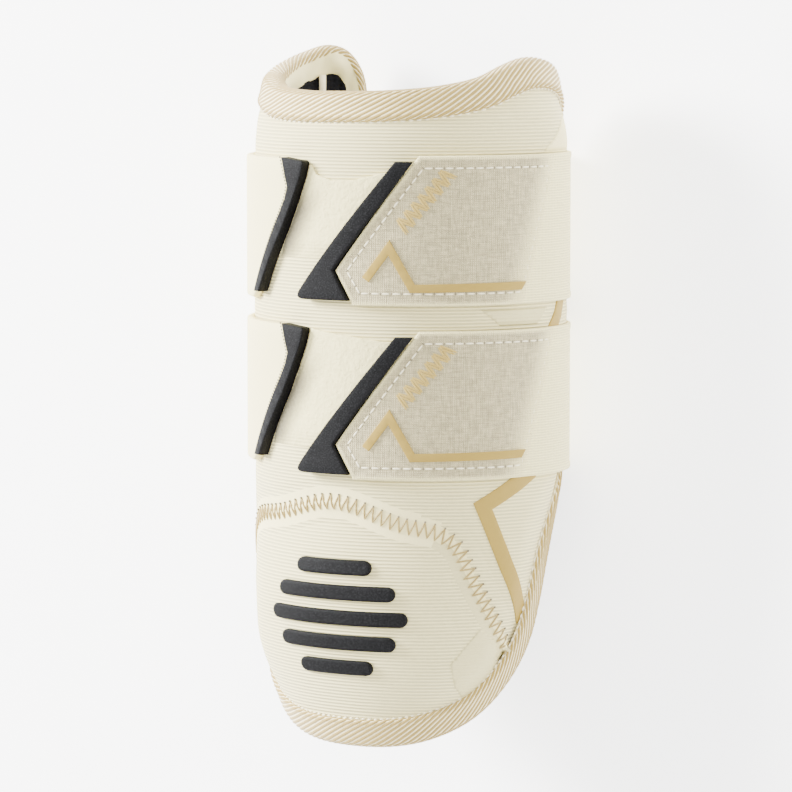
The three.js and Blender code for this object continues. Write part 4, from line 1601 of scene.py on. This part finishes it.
CAMERA_TURN = math.radians(31)
CAMERA_RISE = math.radians(5.5)
CAMERA_DISTANCE = 1.5
PHOTO_MM_PER_PIXEL = 0.34
PHOTO_WIDTH = 792
AXIS_PIXEL_X = 419.7
PHOTO_CENTRE = 396
CENTRE_UP = 114.0
SENSOR_WIDTH = 36.0
FLOOR_SIZE = 3.0
WORLD_STRENGTH = 1.3
LAMP_AIM = Vector((0, 0, 0.04))

# Each lamp's place and size in metres, and its power in watts
LAMPS = {
    "key": ((-1.4, 0.7, 1.0), 0.7, 190.0),
    "fill": ((0.7, 0.2, 1.5), 1.4, 26.0),
    "low": ((-0.4, -1.2, 0.9), 1.2, 14.0),
}


class GUARD_OT_stage(bpy.types.Operator):
    """Sets the pale floor, the soft lights and the camera"""

    bl_idname = "guard.stage"
    bl_label = "Stage"

    def execute(self, context):
        bm = bmesh.new()
        bmesh.ops.create_grid(bm, x_segments=2, y_segments=2, size=FLOOR_SIZE)
        mesh = bpy.data.meshes.new("floor")
        bm.to_mesh(mesh)
        bm.free()
        floor = bpy.data.objects.new("floor", mesh)
        context.scene.collection.objects.link(floor)
        mesh.materials.append(finish("paper_sweep"))
        self.camera(context)
        self.lights(context)
        return {"FINISHED"}

    def camera(self, context):
        right = Vector((math.cos(CAMERA_TURN), 0, -math.sin(CAMERA_TURN)))
        level = Vector((math.sin(CAMERA_TURN), 0, math.cos(CAMERA_TURN)))
        back = level * math.cos(CAMERA_RISE) + Vector((0, math.sin(CAMERA_RISE), 0))
        up = back.cross(right)
        target = (SECTION_PLACE + Vector((0, CENTRE_UP, 0))) * MM
        pixel = PHOTO_MM_PER_PIXEL * MM
        target += right * (PHOTO_CENTRE - AXIS_PIXEL_X) * pixel - up * pixel
        data = bpy.data.cameras.new("camera")
        data.sensor_width = SENSOR_WIDTH
        data.lens = SENSOR_WIDTH * CAMERA_DISTANCE / (PHOTO_WIDTH * pixel)
        camera = bpy.data.objects.new("camera", data)
        turned = Matrix((right, up, back)).transposed().to_4x4()
        camera.matrix_world = Matrix.Translation(target + back * CAMERA_DISTANCE) @ turned
        context.scene.collection.objects.link(camera)
        context.scene.camera = camera

    def lights(self, context):
        world = bpy.data.worlds.new("studio")
        world.use_nodes = True
        background = world.node_tree.nodes["Background"]
        background.inputs["Color"].default_value = (1, 1, 1, 1)
        background.inputs["Strength"].default_value = WORLD_STRENGTH
        context.scene.world = world
        for name, (place, size, power) in LAMPS.items():
            data = bpy.data.lights.new(name, "AREA")
            data.size = size
            data.energy = power
            lamp = bpy.data.objects.new(name, data)
            aim = (LAMP_AIM - Vector(place)).to_track_quat("-Z", "Y")
            lamp.matrix_world = Matrix.Translation(place) @ aim.to_matrix().to_4x4()
            context.scene.collection.objects.link(lamp)


STEPS = (
    GUARD_OT_padding,
    GUARD_OT_edge_tape,
    GUARD_OT_cap_seam,
    GUARD_OT_trim,
    GUARD_OT_straps,
    GUARD_OT_lining,
    GUARD_OT_stage,
)


class GUARD_PT_panel(bpy.types.Panel):
    """Lists the guard's steps in the sidebar"""

    bl_idname = "GUARD_PT_panel"
    bl_label = "Elbow guard"
    bl_space_type = "VIEW_3D"
    bl_region_type = "UI"
    bl_category = "Elbow guard"

    def draw(self, context):
        for group in (context.scene.guard_colours, context.scene.guard_sizes):
            for name in group.__annotations__:
                self.layout.prop(group, name)
        for step in STEPS:
            self.layout.operator(step.bl_idname)


CLASSES = (GuardColours, GuardSizes, *STEPS, GUARD_PT_panel)


def register():
    for cls in CLASSES:
        bpy.utils.register_class(cls)
    bpy.types.Scene.guard_colours = PointerProperty(type=GuardColours)
    bpy.types.Scene.guard_sizes = PointerProperty(type=GuardSizes)


def unregister():
    del bpy.types.Scene.guard_sizes
    del bpy.types.Scene.guard_colours
    for cls in reversed(CLASSES):
        bpy.utils.unregister_class(cls)


def main():
    register()
    bpy.ops.guard.padding()
    bpy.ops.guard.edge_tape()
    bpy.ops.guard.cap_seam()
    bpy.ops.guard.trim()
    bpy.ops.guard.straps()
    bpy.ops.guard.lining()
    bpy.ops.guard.stage()


if __name__ == "__main__":
    main()
